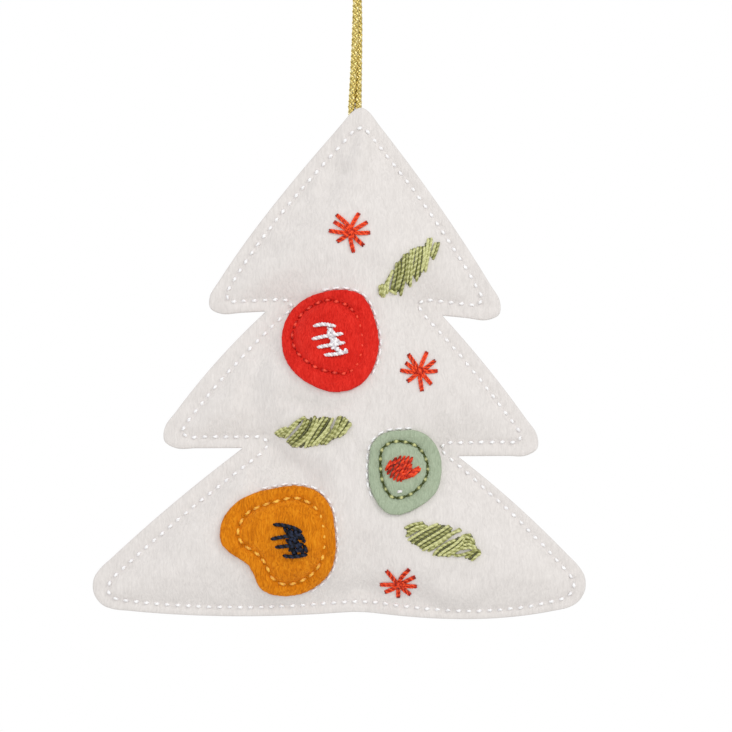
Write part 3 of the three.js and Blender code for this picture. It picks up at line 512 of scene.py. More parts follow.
def braid(skein, line):
    along, up, aside = directionsAlong(line)
    distance = distancesAlong(line)
    crossing = distance * 2 * cord["yarns"] / cord["turn"]
    thickness = cord["yarnThickness"]
    for way in (1, -1):
        for yarn in range(cord["yarns"]):
            turn = way * 2 * math.pi * distance / cord["turn"] + 2 * math.pi * yarn / cord["yarns"]
            crimp = skein.random.uniform(-1, 1, len(line)) * cord["crimp"]
            over = way * np.cos(math.pi * crossing) * cord["over"]
            out = np.cos(turn)[:, None] * up + np.sin(turn)[:, None] * aside
            lift = cord["diameter"] / 2 + thickness * (over + crimp - cord["sunk"])
            middle = line + out * lift[:, None]
            tilted = out + np.cross(along, out) * (crimp * cord["tilt"])[:, None]
            flat = unit(np.cross(np.gradient(middle, axis=0), tilted))
            half = np.full(len(line), 0.5)
            tone = skein.random.uniform(*cord["tones"])
            skein.strand(middle, unit(tilted), flat, half * thickness, half * cord["yarnWidth"], tone)


def makeCord():
    line = smoothLine(cordRoute, cord["step"])
    skein = Skein(11)
    braid(skein, line)
    piece = skein.piece("hanging_cord_braid", "gold_cord")
    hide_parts("hanging_cord")
    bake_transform(piece)


makeCord()


# The two ends of the cord go on between the panels into one knot, with short cut tails under it

tails = {
    "straight": 6 * mm,  # how far the ends go straight down from the tip
    "knotDrop": 13 * mm,  # from the tip to the knot's middle
    "spread": (0.6, 1.3, 1.8),  # of the ends in the knot, half way down the tails and at their cut, as shares
    "tailLength": 4 * mm,
    "knotTurns": 2.5,
    "knotRadii": (1.35 * mm, 1.215 * mm),  # across and from front to back
    "knotHeight": 2.4 * mm,
    "wrapRadius": 0.42 * mm,  # of the yarns that wind round the knot
    "wrapLay": 2.2 * mm,
}
knotLevel = tipHeight - tails["knotDrop"]


def makeTails():
    skein = Skein(12)
    end = knotLevel - cord["diameter"] - tails["tailLength"]
    for x in (cordRoute[0][0], cordRoute[-1][0]):
        across = [cordMiddle + (x - cordMiddle) * share for share in tails["spread"]]
        down = (knotLevel, (knotLevel + end) / 2, end)
        points = [(x, 0, tipHeight + 0.5 * mm), (x, 0, tipHeight - tails["straight"])]
        points += [(a, 0, d) for a, d in zip(across, down)]
        braid(skein, smoothLine(points, cord["step"]))
    total = tails["knotTurns"] * 2 * math.pi
    turn = np.linspace(0, total, 90)[::2]
    wide, deep = tails["knotRadii"]
    wrap = np.stack([cordMiddle + wide * np.cos(turn), deep * np.sin(turn),
                     knotLevel + (turn / total - 0.5) * tails["knotHeight"]], axis=1)
    skein.twist(wrap, np.full(len(wrap), tails["wrapRadius"]), 3, tails["wrapLay"])
    skein.piece("cord_knot_and_tails", "gold_cord", "cord_tails")


makeTails()


# The felt body. The panels' outline and seam come from the frame, the padding from a cloth simulation.

felt = {
    "thickness": 1.2 * mm,
    "halfGap": 0.15 * mm,  # from the middle plane to a panel's inner face, in the margin
    "crown": 7.4 * mm,  # the most that the filling lifts a panel
    "reach": 9 * mm,  # it lifts it 63 % of that at this distance from the seam
    "pitch": 2.6 * mm,  # of the seam's stitches
    "edgeRound": 0.34 * mm,
    "fineStep": 0.2 * mm,  # of the lines that distances are measured to
    "sampleStep": 0.9 * mm,  # of those that the crown is worked out from
    "ringStep": 0.65 * mm,
    "ringInsets": (0.7, 1.35, 2.0),  # millimetres inside the cut edge
    "seamOffsets": (-0.95, -0.45, 0, 0.45, 0.95, 1.6, 2.4),  # millimetres, inwards
    "edgeGap": 0.45 * mm,  # least distance of these rings' points from the cut edge
    "gridStep": 1.35 * mm,
    "sleeveHalfWidth": 2.4 * mm,  # the felt lies over the cord's ends at the tip
    "sleeveFade": 3.5 * mm,
    "wave": (0.22 * mm, 21 * mm),  # height and size of the whole edge's waves out of its plane
    "lumps": ((0.1 * mm, 7 * mm), (0.04 * mm, 2.6 * mm)),  # height and size
    "channel": (0.1 * mm, 0.85 * mm),  # depth and half width of what the seam presses into the felt
    "dips": (0.2 * mm, 0.6 * mm),  # the same for the dip at each needle hole
    "puckers": (0.12 * mm, 1.7 * mm),  # height and reach
    "belly": (0.06 * mm, 3.3 * mm),  # height and width of the margin's own swell
}
cutLine = sharpened(cutEdge("front_panel"))
treeEdge = smoothLine(cutLine, felt["ringStep"], closed=True)
fineEdge = smoothLine(cutLine, felt["fineStep"], closed=True)
nearEdge = NearLine(fineEdge, np.arange(len(fineEdge)))
seamRoute = threadRoute("edge_stitch_front", 0.62 * mm)
seamLine = smoothLine(seamRoute, felt["fineStep"], closed=True)
seamSamples = smoothLine(seamRoute, felt["sampleStep"], closed=True)
stitchCount = int(round(len(seamLine) * felt["fineStep"] / felt["pitch"]))
nearSeam = NearLine(seamLine, np.linspace(0, stitchCount, len(seamLine), endpoint=False))
print(f"the seam has {stitchCount} stitches, the cut edge {len(treeEdge)} points")


def crownFormula(points):  # the padding's shape without the simulation: high where the seam is far off
    ahead = np.roll(seamSamples, -1, axis=0)
    middle, length = (seamSamples + ahead) / 2, np.linalg.norm(ahead - seamSamples, axis=1)
    closeness = np.zeros(len(points))
    for k in range(0, len(points), 2000):  # not all at once, to spare memory
        away = points[k:k + 2000, None, :] - middle[None]
        closeness[k:k + 2000] = np.sum(length / np.sum(away ** 2, axis=2) ** 2, axis=1)
    distance = np.cbrt(math.pi / 2 / closeness)
    lift = felt["crown"] * (1 - np.exp(-distance / felt["reach"]))
    return np.where(isInside(seamLine, points), lift, 0)


def spaced(points, kept, gap):  # the points that lie further than the gap from those kept and each other
    cells, chosen = {}, []
    steps = [(i, j) for i in (-1, 0, 1) for j in (-1, 0, 1)]
    for p in kept:
        cells.setdefault((int(p[0] // gap), int(p[1] // gap)), []).append(p)
    for p in points:
        x, z = int(p[0] // gap), int(p[1] // gap)
        around = [q for i, j in steps for q in cells.get((x + i, z + j), [])]
        if all((q[0] - p[0]) ** 2 + (q[1] - p[1]) ** 2 > gap * gap for q in around):
            chosen.append(p)
            cells.setdefault((x, z), []).append(p)
    return np.array(chosen).reshape(-1, 2)


def gathered(lines, gap):  # the points of several lines, without those nearer than the gap to one before
    points = np.zeros((0, 2))
    for line in lines:
        points = np.concatenate([points, spaced(line, points, gap)])
    return points


def gridInside(ring, step, seed):  # a staggered grid, a little uneven, inside a ring
    low, high = ring.min(axis=0), ring.max(axis=0)
    across = np.arange(low[0], high[0], step)
    rows = np.arange(low[1], high[1], step * math.sqrt(3) / 2)
    points = np.array([(x + (i % 2) * step / 2, z) for i, z in enumerate(rows) for x in across])
    points += np.random.default_rng(seed).uniform(-0.12, 0.12, points.shape) * step
    return points[isInside(ring, points)]


def netOver(ring, inner):  # triangles over a ring and the points inside it
    verts = [Vector(p) for p in np.concatenate([ring, inner])]
    edges = [(i, (i + 1) % len(ring)) for i in range(len(ring))]
    points, _, faces, *_ = geometry.delaunay_2d_cdt(verts, edges, [], 1, 1e-7)
    points = np.array([p[:] for p in points])
    a, b, c = (points[[f[k] for f in faces]] for k in range(3))
    turned = (b[:, 0] - a[:, 0]) * (c[:, 1] - a[:, 1]) - (b[:, 1] - a[:, 1]) * (c[:, 0] - a[:, 0])
    triangles = [tuple(f) if t > 0 else tuple(reversed(f)) for f, t in zip(faces, turned)]
    return points, triangles


# A closed shell over a ring: the places of its outer and inner face, whose first ones are the ring's, and
# the loops round its rim between them. facing is -1 for the front and 1 for the back.
def closedShell(name, ring, outer, inner, loops, triangles, facing, slotName, nodeName):
    count, rimCount = len(outer), len(ring)
    front = facing < 0
    faces = [f if front else f[::-1] for f in triangles]
    faces += [tuple(count + k for k in (f[::-1] if front else f)) for f in triangles]
    starts = [0] + [2 * count + k * rimCount for k in range(len(loops))] + [count]
    asDrawn = (signedArea(ring) > 0) == front
    for upper, lower in zip(starts[:-1], starts[1:]):
        for i in range(rimCount):
            j = (i + 1) % rimCount
            quad = (upper + i, lower + i, lower + j, upper + j)
            faces.append(quad if asDrawn else quad[::-1])
    return newPiece(name, np.concatenate([outer, inner, *loops]), faces, slotName, nodeName)


# A sheet of felt cut to a ring, with a softly rounded edge, over the piece under it. The two functions give
# how far its faces stand from the middle plane.
def feltSheet(name, ring, inside, outerAt, innerAt, roundness, facing, slotName, nodeName):
    normals = outwards(ring)
    rim = ring - normals * roundness
    points, triangles = netOver(rim, spaced(inside, rim, roundness * 1.2))
    top, bottom = outerAt(points), innerAt(points)
    low, high = bottom[:len(rim)], top[:len(rim)]
    loops = [standing(ring - normals * roundness * inset, facing * (low + (high - low) * share))
             for share, inset in ((0.88, 0.35), (0.5, 0.0), (0.12, 0.35))]
    sheet = closedShell(name, ring, standing(points, facing * top), standing(points, facing * bottom), loops,
                        triangles, facing, slotName, nodeName)


# The padded shell between the seams, blown up as cloth. It is simulated at ten times its size, where the
# solver's stiffness behaves as it does on a garment. Both panels swell alike, so one is enough to keep.
padding = {
    "scale": 10,
    "netStep": 3.2 * mm,
    "startShare": 0.55,  # of the crown, from which the cloth swells
    "frames": 26,
    "highShare": 0.995,  # of the cloth that lies lower than what is taken as its full height
    "most": 1.0 * mm,  # how far the cloth may stand from the frame's crown
    "cloth": {"quality": 8, "mass": 0.4, "tension_stiffness": 40, "compression_stiffness": 40,
              "shear_stiffness": 20, "bending_stiffness": 8, "air_damping": 4, "shrink_min": -0.03,
              "use_pressure": True, "uniform_pressure_force": 3.0, "vertex_group_mass": "sewn"},
}


def simulateCrown():
    ring = smoothLine(seamRoute, padding["netStep"], closed=True)
    inner = spaced(gridInside(ring, padding["netStep"], 5), ring, padding["netStep"] * 0.55)
    points, triangles = netOver(ring, inner)
    sewn, count, scale = len(ring), len(points), padding["scale"]
    start = crownFormula(points) * padding["startShare"]
    start[:sewn] = 0
    front = standing(points, -start) * scale
    back = front[sewn:] * (1, -1, 1)
    faces = triangles + [tuple(k if k < sewn else count + k - sewn for k in reversed(f)) for f in triangles]
    shell = newPiece("crown_shell", np.concatenate([front, back]), faces, "white_felt")
    pins = shell.vertex_groups.new(name="sewn")
    pins.add(list(range(sewn)), 1.0, "REPLACE")
    cloth = shell.modifiers.new("cloth", "CLOTH")
    for name, value in padding["cloth"].items():
        setattr(cloth.settings, name, value)
    cloth.settings.effector_weights.gravity = 0
    cloth.collision_settings.use_collision = False
    cloth.point_cache.frame_end = padding["frames"]
    for frameNumber in range(1, padding["frames"] + 1):
        bpy.context.scene.frame_set(frameNumber)
    swollen = shell.evaluated_get(bpy.context.evaluated_depsgraph_get()).to_mesh()
    places = np.array([v.co[:] for v in swollen.vertices][:count]) / scale
    bpy.data.objects.remove(shell)
    bpy.context.scene.frame_set(1)
    lift = -places[:, 1]
    print(f"the cloth swelled to {lift.max() / mm:.1f} mm")
    lift *= felt["crown"] / np.quantile(lift, padding["highShare"])
    planned = crownFormula(places[:, [0, 2]])
    planned[:sewn] = 0
    lift = planned + padding["most"] * np.tanh((lift - planned) / padding["most"])
    lift[:sewn] = 0
    cage = newPiece("crown_cage", standing(places[:, [0, 2]], -lift), triangles, "white_felt")
    smoothed = cage.modifiers.new("smoothed", "SUBSURF")
    smoothed.levels = smoothed.render_levels = 2
    smoothed.boundary_smooth = "PRESERVE_CORNERS"
    fine = cage.evaluated_get(bpy.context.evaluated_depsgraph_get()).to_mesh()
    lifted = BVHTree.FromPolygons([v.co[:] for v in fine.vertices], [p.vertices[:] for p in fine.polygons])
    bpy.data.objects.remove(cage)
    return lifted


crownTree = simulateCrown()


def crownAt(points):  # how far the filling lifts a panel at places in its plane
    planned = crownFormula(points)
    if crownTree is None:
        return planned
    lift = planned.copy()
    for i, p in enumerate(points):
        if planned[i] > 0:
            hit = crownTree.ray_cast(Vector((p[0], -0.1, p[1])), Vector((0, 1, 0)))[0]
            if hit is not None:
                lift[i] = max(0.0, -hit.y)
    return lift


def sleeveAt(points):  # how far the cord's ends lift the felt at the tip
    aside = np.maximum(0, np.abs(points[:, 0] - cordMiddle) - felt["sleeveHalfWidth"])
    below = np.maximum(0, knotLevel - points[:, 1])
    fade = np.clip(np.hypot(aside, below) / felt["sleeveFade"], 0, 1)
    fade = fade * fade * (3 - 2 * fade)
    return (cord["diameter"] / 2 + felt["halfGap"]) * (1 - fade)


def unevenness(points, size, seed):  # smooth noise between -1 and 1 at places in the plane
    return np.array([noise.noise(Vector((p[0] / size, seed, p[1] / size))) for p in points]) * 1.6


def lumpsAt(points, lumps, seed, apart):  # each with a seed that is so far from the last one's
    return sum(height * unevenness(points, size, seed + k * apart) for k, (height, size) in enumerate(lumps))


def bell(distance, halfWidth):
    return np.exp(-(distance / halfWidth) ** 2)


def needleHoles(stitches):  # 1 at a needle hole and 0 half way between two
    return 0.5 + 0.5 * np.cos(2 * math.pi * stitches)


def seamDetail(points):  # the channel that the seam presses into the felt, with a dip at each needle hole
    distance, stitches = nearSeam(points)
    hole = needleHoles(stitches)
    (deep, wide), (dip, dipWidth), (pucker, puckerReach), (swell, margin) = (
        felt[name] for name in ("channel", "dips", "puckers", "belly"))
    pressed = deep * bell(distance, wide) + dip * hole ** 2 * bell(distance, dipWidth)
    puckers = pucker * (hole - 0.5) * np.exp(-distance / puckerReach)
    belly = swell * np.sin(np.clip(distance / margin, 0, 1) * math.pi)
    return np.where(isInside(seamLine, points), 0, belly) - pressed - puckers


# Soft folds of the front that the seam, the patches and the cord's ends draw up: where they run, their lift
# and half their width in millimetres. They fade out along their length.
folds = [
    ([(354, 112), (347, 142), (333, 180), (316, 222)], -1.3, 2.4),
    ([(362, 114), (362, 150), (357, 206)], 0.5, 1.3),
    ([(338, 160), (302, 214), (262, 268)], -0.5, 2.6),
    ([(282, 322), (254, 368), (262, 430)], -1.9, 3.4),
    ([(240, 440), (274, 456), (304, 474), (326, 506)], -2.3, 3.4),
    ([(264, 448), (257, 480), (262, 512)], -1.1, 2.0),
    ([(272, 394), (318, 408), (372, 398)], -0.9, 1.8),
    ([(340, 420), (358, 446), (378, 470)], -0.6, 1.0),
    ([(330, 440), (346, 464), (354, 496)], -0.55, 1.0),
    ([(316, 450), (334, 470), (342, 500)], 0.35, 0.9),
    ([(300, 598), (368, 592), (450, 602)], -1.2, 3.0),
    ([(442, 378), (460, 410), (468, 440)], -0.6, 1.6),
]
foldDepthShare = 0.5  # the most that folds take of the padding's height
foldLines = [smoothLine(fromPhoto(pixels), 0.4 * mm) for pixels, foldLift, halfWidth in folds]
nearFolds = [NearLine(line, np.linspace(0, 1, len(line))) for line in foldLines]


def foldsAt(points):
    total = np.zeros(len(points))
    for (pixels, lift, halfWidth), nearFold in zip(folds, nearFolds):
        distance, along = nearFold(points)
        total += lift * mm * np.sin(math.pi * along) * bell(distance, halfWidth * mm)
    return np.maximum(total, -foldDepthShare * crownFormula(points))


# How far a panel's inner face stands from the middle plane
def innerFace(points, facing):
    height, size = felt["wave"]
    wave = facing * height * unevenness(points, size, 3.1)
    return felt["halfGap"] + crownAt(points) + sleeveAt(points) + wave


def frontInner(points):
    return innerFace(points, -1) + foldsAt(points)


def backInner(points):
    return innerFace(points, 1)


def surfaceDetail(points, seed):
    return seamDetail(points) + lumpsAt(points, felt["lumps"], seed, 4)


def frontFace(points):
    return patchBed(points) + surfaceDetail(points, 0.4)


def backFace(points):
    return backInner(points) + felt["thickness"] + surfaceDetail(points, 7.7)


def patchBed(points):  # the front's outer face without its seam and lumps, which the patches lie on
    return frontInner(points) + felt["thickness"]


# Closed lines these millimetres inside another one, without the points that are nearer to it than a share
# of that
def ringsBeside(line, offsets, near, share):
    rings = [(line - outwards(line) * offset * mm, abs(offset) * mm) for offset in offsets]
    return [ring[near(ring)[0] > share * offset] for ring, offset in rings]


def panelPoints():
    stitched = smoothLine(seamRoute, felt["ringStep"], closed=True)
    rings = ringsBeside(treeEdge, felt["ringInsets"], nearEdge, 0.97)
    rings += ringsBeside(stitched, felt["seamOffsets"], nearSeam, 0.96)
    rings = [ring[isInside(treeEdge, ring)] for ring in rings]
    points = gathered([ring[nearEdge(ring)[0] > felt["edgeGap"]] for ring in rings], felt["ringStep"] * 0.55)
    grid = spaced(gridInside(seamLine, felt["gridStep"], 8), points, felt["gridStep"] * 0.62)
    return np.concatenate([points, grid])


def makePanels():
    inside = panelPoints()
    for name, outerAt, innerAt, facing in (("front_panel", frontFace, frontInner, -1),
                                           ("back_panel", backFace, backInner, 1)):
        feltSheet(f"{name}_felt", treeEdge, inside, outerAt, innerAt, felt["edgeRound"], facing, "white_felt",
                  name)


# The filling: one loose pad of fibre that presses both panels out, lumpy under the felt

filling = {
    "inset": 2.0 * mm,  # from the seam
    "ringStep": 2.2 * mm,
    "gridStep": 3.0 * mm,
    "slack": 0.4 * mm,  # least room under the felt
    "lumps": (0.3 * mm, 5 * mm),  # height and size
    "least": 0.15 * mm,  # half its thickness at its rim
}


def makeFilling():
    ring = smoothLine(seamRoute, filling["ringStep"], closed=True)
    rim = ring - outwards(ring) * filling["inset"]
    rim = rim[nearSeam(rim)[0] > 0.95 * filling["inset"]]
    rim = evenly(np.concatenate([rim, rim[:1]]), filling["ringStep"], closed=True)
    points, triangles = netOver(rim, spaced(gridInside(rim, filling["gridStep"], 9), rim,
                                            filling["gridStep"] / 2))
    height, size = filling["lumps"]
    slack = filling["slack"] + height * np.abs(unevenness(points, size, 2.0))
    outer, inner = (standing(points, way * np.maximum(filling["least"], innerAt(points) - slack))
                    for way, innerAt in ((-1, frontInner), (1, backInner)))
    pad = closedShell("filling_pad", rim, outer, inner, [], triangles, -1, "fibre_filling", "filling")


makeFilling()
makePanels()
print("the felt body is done")


# Stitches

def onFace(pixels, face):  # the places in the plane of pixels that show a face of the object
    proud = np.zeros(len(pixels))
    for _ in range(3):
        places = fromPhoto(pixels, proud)
        proud = face(places)
    return places


# One stitch over a face, from needle hole to needle hole. Taut thread spans the small dips of the felt. It
# comes up steeply out of its hole within the lead and bows a little over the rest. Its tone is painted: a
# highlight on its crest and shade at its ends, where it goes into its holes.
def stitch(skein, places, face, thread, lift=0.0, facing=-1):
    length = distancesAlong(places)[-1]
    line = smoothLine(places, min(0.3 * mm, length / 14))
    along = distancesAlong(line)
    fromEnd = np.minimum(along, along[-1] - along)
    climb = np.sin(math.pi / 2 * np.minimum(1, fromEnd / min(thread["lead"], length / 2)))
    height = face(line)
    taut = np.convolve(np.pad(height, 3, mode="edge"), np.ones(7) / 7, mode="valid")
    height = np.maximum(taut, height) - thread["dive"] + (thread["rise"] + lift + thread["dive"]) * climb
    height += thread["bow"] * np.sin(math.pi * along / along[-1])
    radii = thread["width"] / 2 * (thread["end"] + (1 - thread["end"]) * climb)
    # painted highlight and shade: the tone peaks on the stitch's crest, falls beside it and darkens towards
    # the holes
    crest = bell(along - along[-1] / 2, thread["paintedHighlight"])
    paintedLight = np.clip(fromEnd / thread["shadow"], 0, 1) * (thread["besidePaintedHighlight"] + (1 - thread["besidePaintedHighlight"]) * crest)
    skein.twist(standing(line, facing * height), radii, thread["plies"], thread["lay"], thread["relief"],
                thread["paintedPlyContrast"], thread["tones"], facing, paintedLight)


# What a thread is like, here for sewing. The threads of the pieces below give what is different there.
sewing = {
    "width": 0.82 * mm,
    "end": 0.35,  # its width in its hole, as a share
    "rise": 0.0,  # of its middle line over the felt, where it has come up
    "bow": 0.26 * mm,  # how much higher than that a stitch's middle is
    "dive": 0.8 * mm,  # how deep its ends go into their holes
    "lead": 0.9 * mm,  # how far from its holes it has come up
    "shadow": 0.3 * mm,  # length of each end that lies in the shadow of its hole, darkened in tone there as painted shade
    "paintedHighlight": 0.4 * mm,  # half the length of the painted highlight on the crest
    "besidePaintedHighlight": 0.45,  # tone beside that painted highlight, as a share of the crest's
    "tones": (0.8, 1.0),  # from the darkest to the brightest stitch
    "plies": 2,
    "lay": 2.0 * mm,  # length of one turn of the plies
    "relief": 0.3,  # how far their middles lie from the thread's, as a share of its radius
    "paintedPlyContrast": 0.0,  # how much their tones differ, as painted light on one ply and painted shade on the next
}
seam = dict(sewing, dive=0.7 * mm, lead=0.7 * mm, tones=(0.85, 1.0), lay=2.4 * mm)
seamSunk = 0.22  # share of a stitch's length at each end that the nap closes over
seamSway = 0.05 * mm  # how unevenly the holes lie


def makeSeam(name, nodeName, facing, face):
    skein = Skein(21 + facing)
    along = np.arange(stitchCount) * len(seamLine) / stitchCount
    holes = between(along, np.arange(len(seamLine)), seamLine)
    holes += skein.random.normal(0, seamSway, (stitchCount, 2))
    for hole, after in zip(holes, np.roll(holes, -1, axis=0)):
        sunk = seamSunk * (after - hole)
        stitch(skein, np.array([hole + sunk, after - sunk]), face, seam, facing=facing)
    skein.piece(name, "white_thread", nodeName)


makeSeam("edge_stitches_front", "edge_stitch_front", -1, frontFace)
makeSeam("edge_stitches_back", "edge_stitch_back", 1, backFace)
print("the seam is done")


# The felt flowers: each is a thick patch with a ring of stitches that pinches it and lets its middle swell.
# Pixel places are those of the stitches' crests and of the scribble's strokes in the photograph.

flower = {
    "thickness": 1.2 * mm,
    "bed": 0.06 * mm,  # between a patch and the panel
    "edgeRound": 0.42 * mm,
    "edgeRough": 0.035 * mm,
    "netStep": 0.55 * mm,
    "ringInsets": (0.9, 1.5),  # of rings of points inside the cut edge, in millimetres
    "crestOffsets": (0, 0.4, -0.4, 0.85, -0.85),  # of those beside the ring of stitches
    "leastGap": 0.36 * mm,  # between the net's points
    "groove": (0.46 * mm, 0.85 * mm),  # depth and half width of what the ring of stitches presses in
    "hole": (0.7 * mm, 0.527 * mm),  # the same for its needle holes
    "pulledIn": 0.45 * mm,  # how much deeper the stitches lie where they are tightest
    "nap": 0.26,  # share of a stitch there that the nap closes over at each end
    "leastLeft": 0.4 * mm,  # of the felt's thickness under the deepest stitch
    "swells": ((0.5 * mm, 2.4 * mm), (0.14 * mm, 1.2 * mm)),  # height and fade, inside the ring and outside
    "lumps": ((0.09 * mm, 3.4 * mm), (0.03 * mm, 1.1 * mm)),  # height and size
    "gathers": (0.16 * mm, 0.4),  # height of the creases that the ring draws up, and their share outside
    "gathersLie": (1.1 * mm, 1.7 * mm),  # how far from the ring, and half how wide
    "strokeLift": 0.25 * mm,  # the most that one stroke of a scribble lies over another
    "shift": 0.28 * mm,  # how far the white stitches beside a patch lie under its rim
}
# Ring stitches are darkened in tone over a longer length at their ends, as painted shade, and each ring below
# sets the painted highlight on its crests
ringThread = dict(sewing, end=0.5, shadow=0.6 * mm)
scribbleThread = dict(sewing, rise=0.2 * mm, bow=0.15 * mm, dive=0.7 * mm, lead=1.2 * mm, paintedHighlight=1.0 * mm,
                      besidePaintedHighlight=1.0, lay=1.5 * mm, relief=0.26, paintedPlyContrast=0.25, tones=(0.5, 0.8))
placementThread = dict(sewing, width=0.66 * mm, rise=0.05 * mm, bow=0.18 * mm, shadow=0.5 * mm,
                       paintedHighlight=0.55 * mm, besidePaintedHighlight=0.5)
tackThread = dict(placementThread, width=0.8 * mm, rise=0.12 * mm, dive=0.5 * mm, lead=0.45 * mm)
flowers = {  # tight is the crest where the ring is tightest, how many crests away that fades, and how much
    "red": {
        "seed": 31, "feltColour": "red", "ringColour": "red", "scribbleColour": "white",
        "ring": dict(ringThread, width=0.72 * mm, rise=0.02 * mm, paintedHighlight=0.34 * mm, besidePaintedHighlight=0.35),
        "tight": (9, 4, 1),
        "crestPixels": [
            (309, 308), (318.5, 302.5), (327.6, 300), (336.8, 301.5), (344.8, 304), (352, 309.6),
            (357, 316.6), (360.3, 325.7), (361.8, 334.8), (362, 345.4), (360.5, 355), (357, 364.5),
            (351.5, 370.8), (344, 373.4), (335.4, 372.7), (324.5, 370.3), (315, 366.8), (306.6, 361),
            (299.2, 354.5), (293.9, 346), (292.2, 335.5), (295.4, 324.3), (301, 315)],
        "strokes": dict(scribbleThread, width=1.1 * mm, lay=1.35 * mm, relief=0.34, lead=1.7 * mm,
                        paintedPlyContrast=0.5, tones=(0.3, 0.5)),
        "strokePixels": [
            [(312, 326.4), (323, 324.2), (337.4, 326.6)], [(310.4, 339.4), (326, 336), (345, 333.2)],
            [(315.6, 347.6), (330, 345), (346.6, 342.2)], [(322.6, 355), (336, 354), (348.6, 351.4)],
            [(327, 326.6), (335.6, 335)], [(331, 327.6), (333.4, 336)], [(335.4, 333.6), (328.4, 339)],
            [(329, 337.4), (338.6, 344)], [(333.4, 337.6), (336.4, 344.6)], [(338, 342.4), (332.6, 348.4)],
            [(332.8, 346.6), (341.8, 353)], [(337, 346.4), (339.4, 353)], [(329.6, 328), (336.4, 337)],
            [(331, 336), (341, 343)], [(335, 343), (331.6, 350)], [(334, 348), (345, 353.6)],
            [(327.4, 329), (332, 340)], [(333, 338), (331, 348)], [(345, 348.4), (347, 353.4)]],
    },
    "green": {
        "seed": 32, "feltColour": "sage", "ringColour": "olive", "scribbleColour": "coral",
        "ring": dict(ringThread, width=0.78 * mm, rise=0.08 * mm, paintedHighlight=0.36 * mm, besidePaintedHighlight=0.3, end=0.8,
                     dive=0.2 * mm, shadow=0.05 * mm),
        "tight": (0, 1, 0),
        "crestPixels": [
            (382, 449.7), (387.6, 444.2), (396, 441.4), (405.4, 442), (414.2, 444.9), (421.2, 450.6),
            (425.9, 459), (427.9, 469), (425.2, 479.6), (418.8, 487.8), (410.6, 494.2), (401.2, 497.6),
            (391.8, 496.9), (385.5, 489), (382, 479.3), (380.7, 469), (380.4, 458.8)],
        "tackPixels": [(397.2, 491.8), (402.2, 491.2)],  # one short white stitch that comes up through it
        "strokes": dict(scribbleThread, width=0.9 * mm, lay=1.6 * mm, relief=0.24, paintedPlyContrast=0.16,
                        tones=(0.3, 1.0)),
        "strokePixels": [
            [(385, 471.4), (391.6, 459.6)], [(386.8, 475.4), (396.6, 456.6)], [(389.8, 479), (401.2, 455)],
            [(393, 481.4), (405.4, 454.8)], [(396.6, 482.8), (409.4, 455)], [(399.8, 482.8), (413, 456)],
            [(402.6, 480.8), (412.2, 463)], [(404.8, 479.6), (417.4, 467)], [(407.6, 479), (419.6, 465.8)],
            [(411, 477.6), (421.2, 467.6)], [(413, 474), (420.8, 470)], [(386.4, 467), (399, 460.4)],
            [(391, 473), (409, 462)], [(397, 478), (413, 468)], [(388.4, 466), (398, 459)],
            [(394.6, 476), (405.6, 461)]],
    },
    "mustard": {
        "seed": 33, "feltColour": "mustard", "ringColour": "golden", "scribbleColour": "navy",
        "ring": dict(ringThread, width=0.8 * mm, rise=0.03 * mm, paintedHighlight=0.45 * mm, besidePaintedHighlight=0.45),
        "tight": (19.5, 3.4, 1),
        "crestPixels": [
            (276.4, 501.5), (266.4, 504.3), (256.5, 508), (248, 512.7), (241.3, 521.5), (238, 531.8),
            (240.5, 541), (248, 548), (257, 553.8), (263.6, 561), (268, 569.3), (272.4, 578), (282.4, 584),
            (292.8, 583.7), (303, 580), (311.5, 574.5), (318.3, 566.5), (322.6, 557.5), (324.4, 547.5),
            (324.6, 537), (323.4, 526.5), (321.2, 516.6), (315.8, 508.2), (307.4, 501.8), (297.4, 498.2),
            (286.8, 498.7)],
        "strokes": dict(scribbleThread, width=1.1 * mm, lead=1.6 * mm, paintedPlyContrast=0.3, tones=(0.4, 0.8)),
        "strokePixels": [
            [(271.4, 524.6), (282, 525), (294, 528), (303.4, 533.4)],
            [(269.4, 539.6), (281.7, 537), (303.6, 534.6)], [(273.8, 547.4), (286.7, 546), (305.2, 543.8)],
            [(281.4, 555.4), (293.3, 556.6), (308.6, 554.4)], [(283, 526.4), (291, 537)],
            [(288, 527.6), (295, 538)], [(293, 529), (299, 536.4)], [(286, 531), (299, 541)],
            [(297, 535), (286, 543)], [(285, 539), (297, 547)], [(290, 537), (300, 544)],
            [(296, 543), (288, 552)], [(289, 547), (298, 556)], [(294, 545), (293, 556)],
            [(303.4, 544), (307.4, 553.6)], [(301, 534), (305, 543.6)], [(298, 531), (303, 541)],
            [(293, 534), (303.6, 540)], [(287, 541.6), (303, 548.6)], [(297.6, 546), (304.6, 555)],
            [(292, 550), (306, 550)]],
    },
}


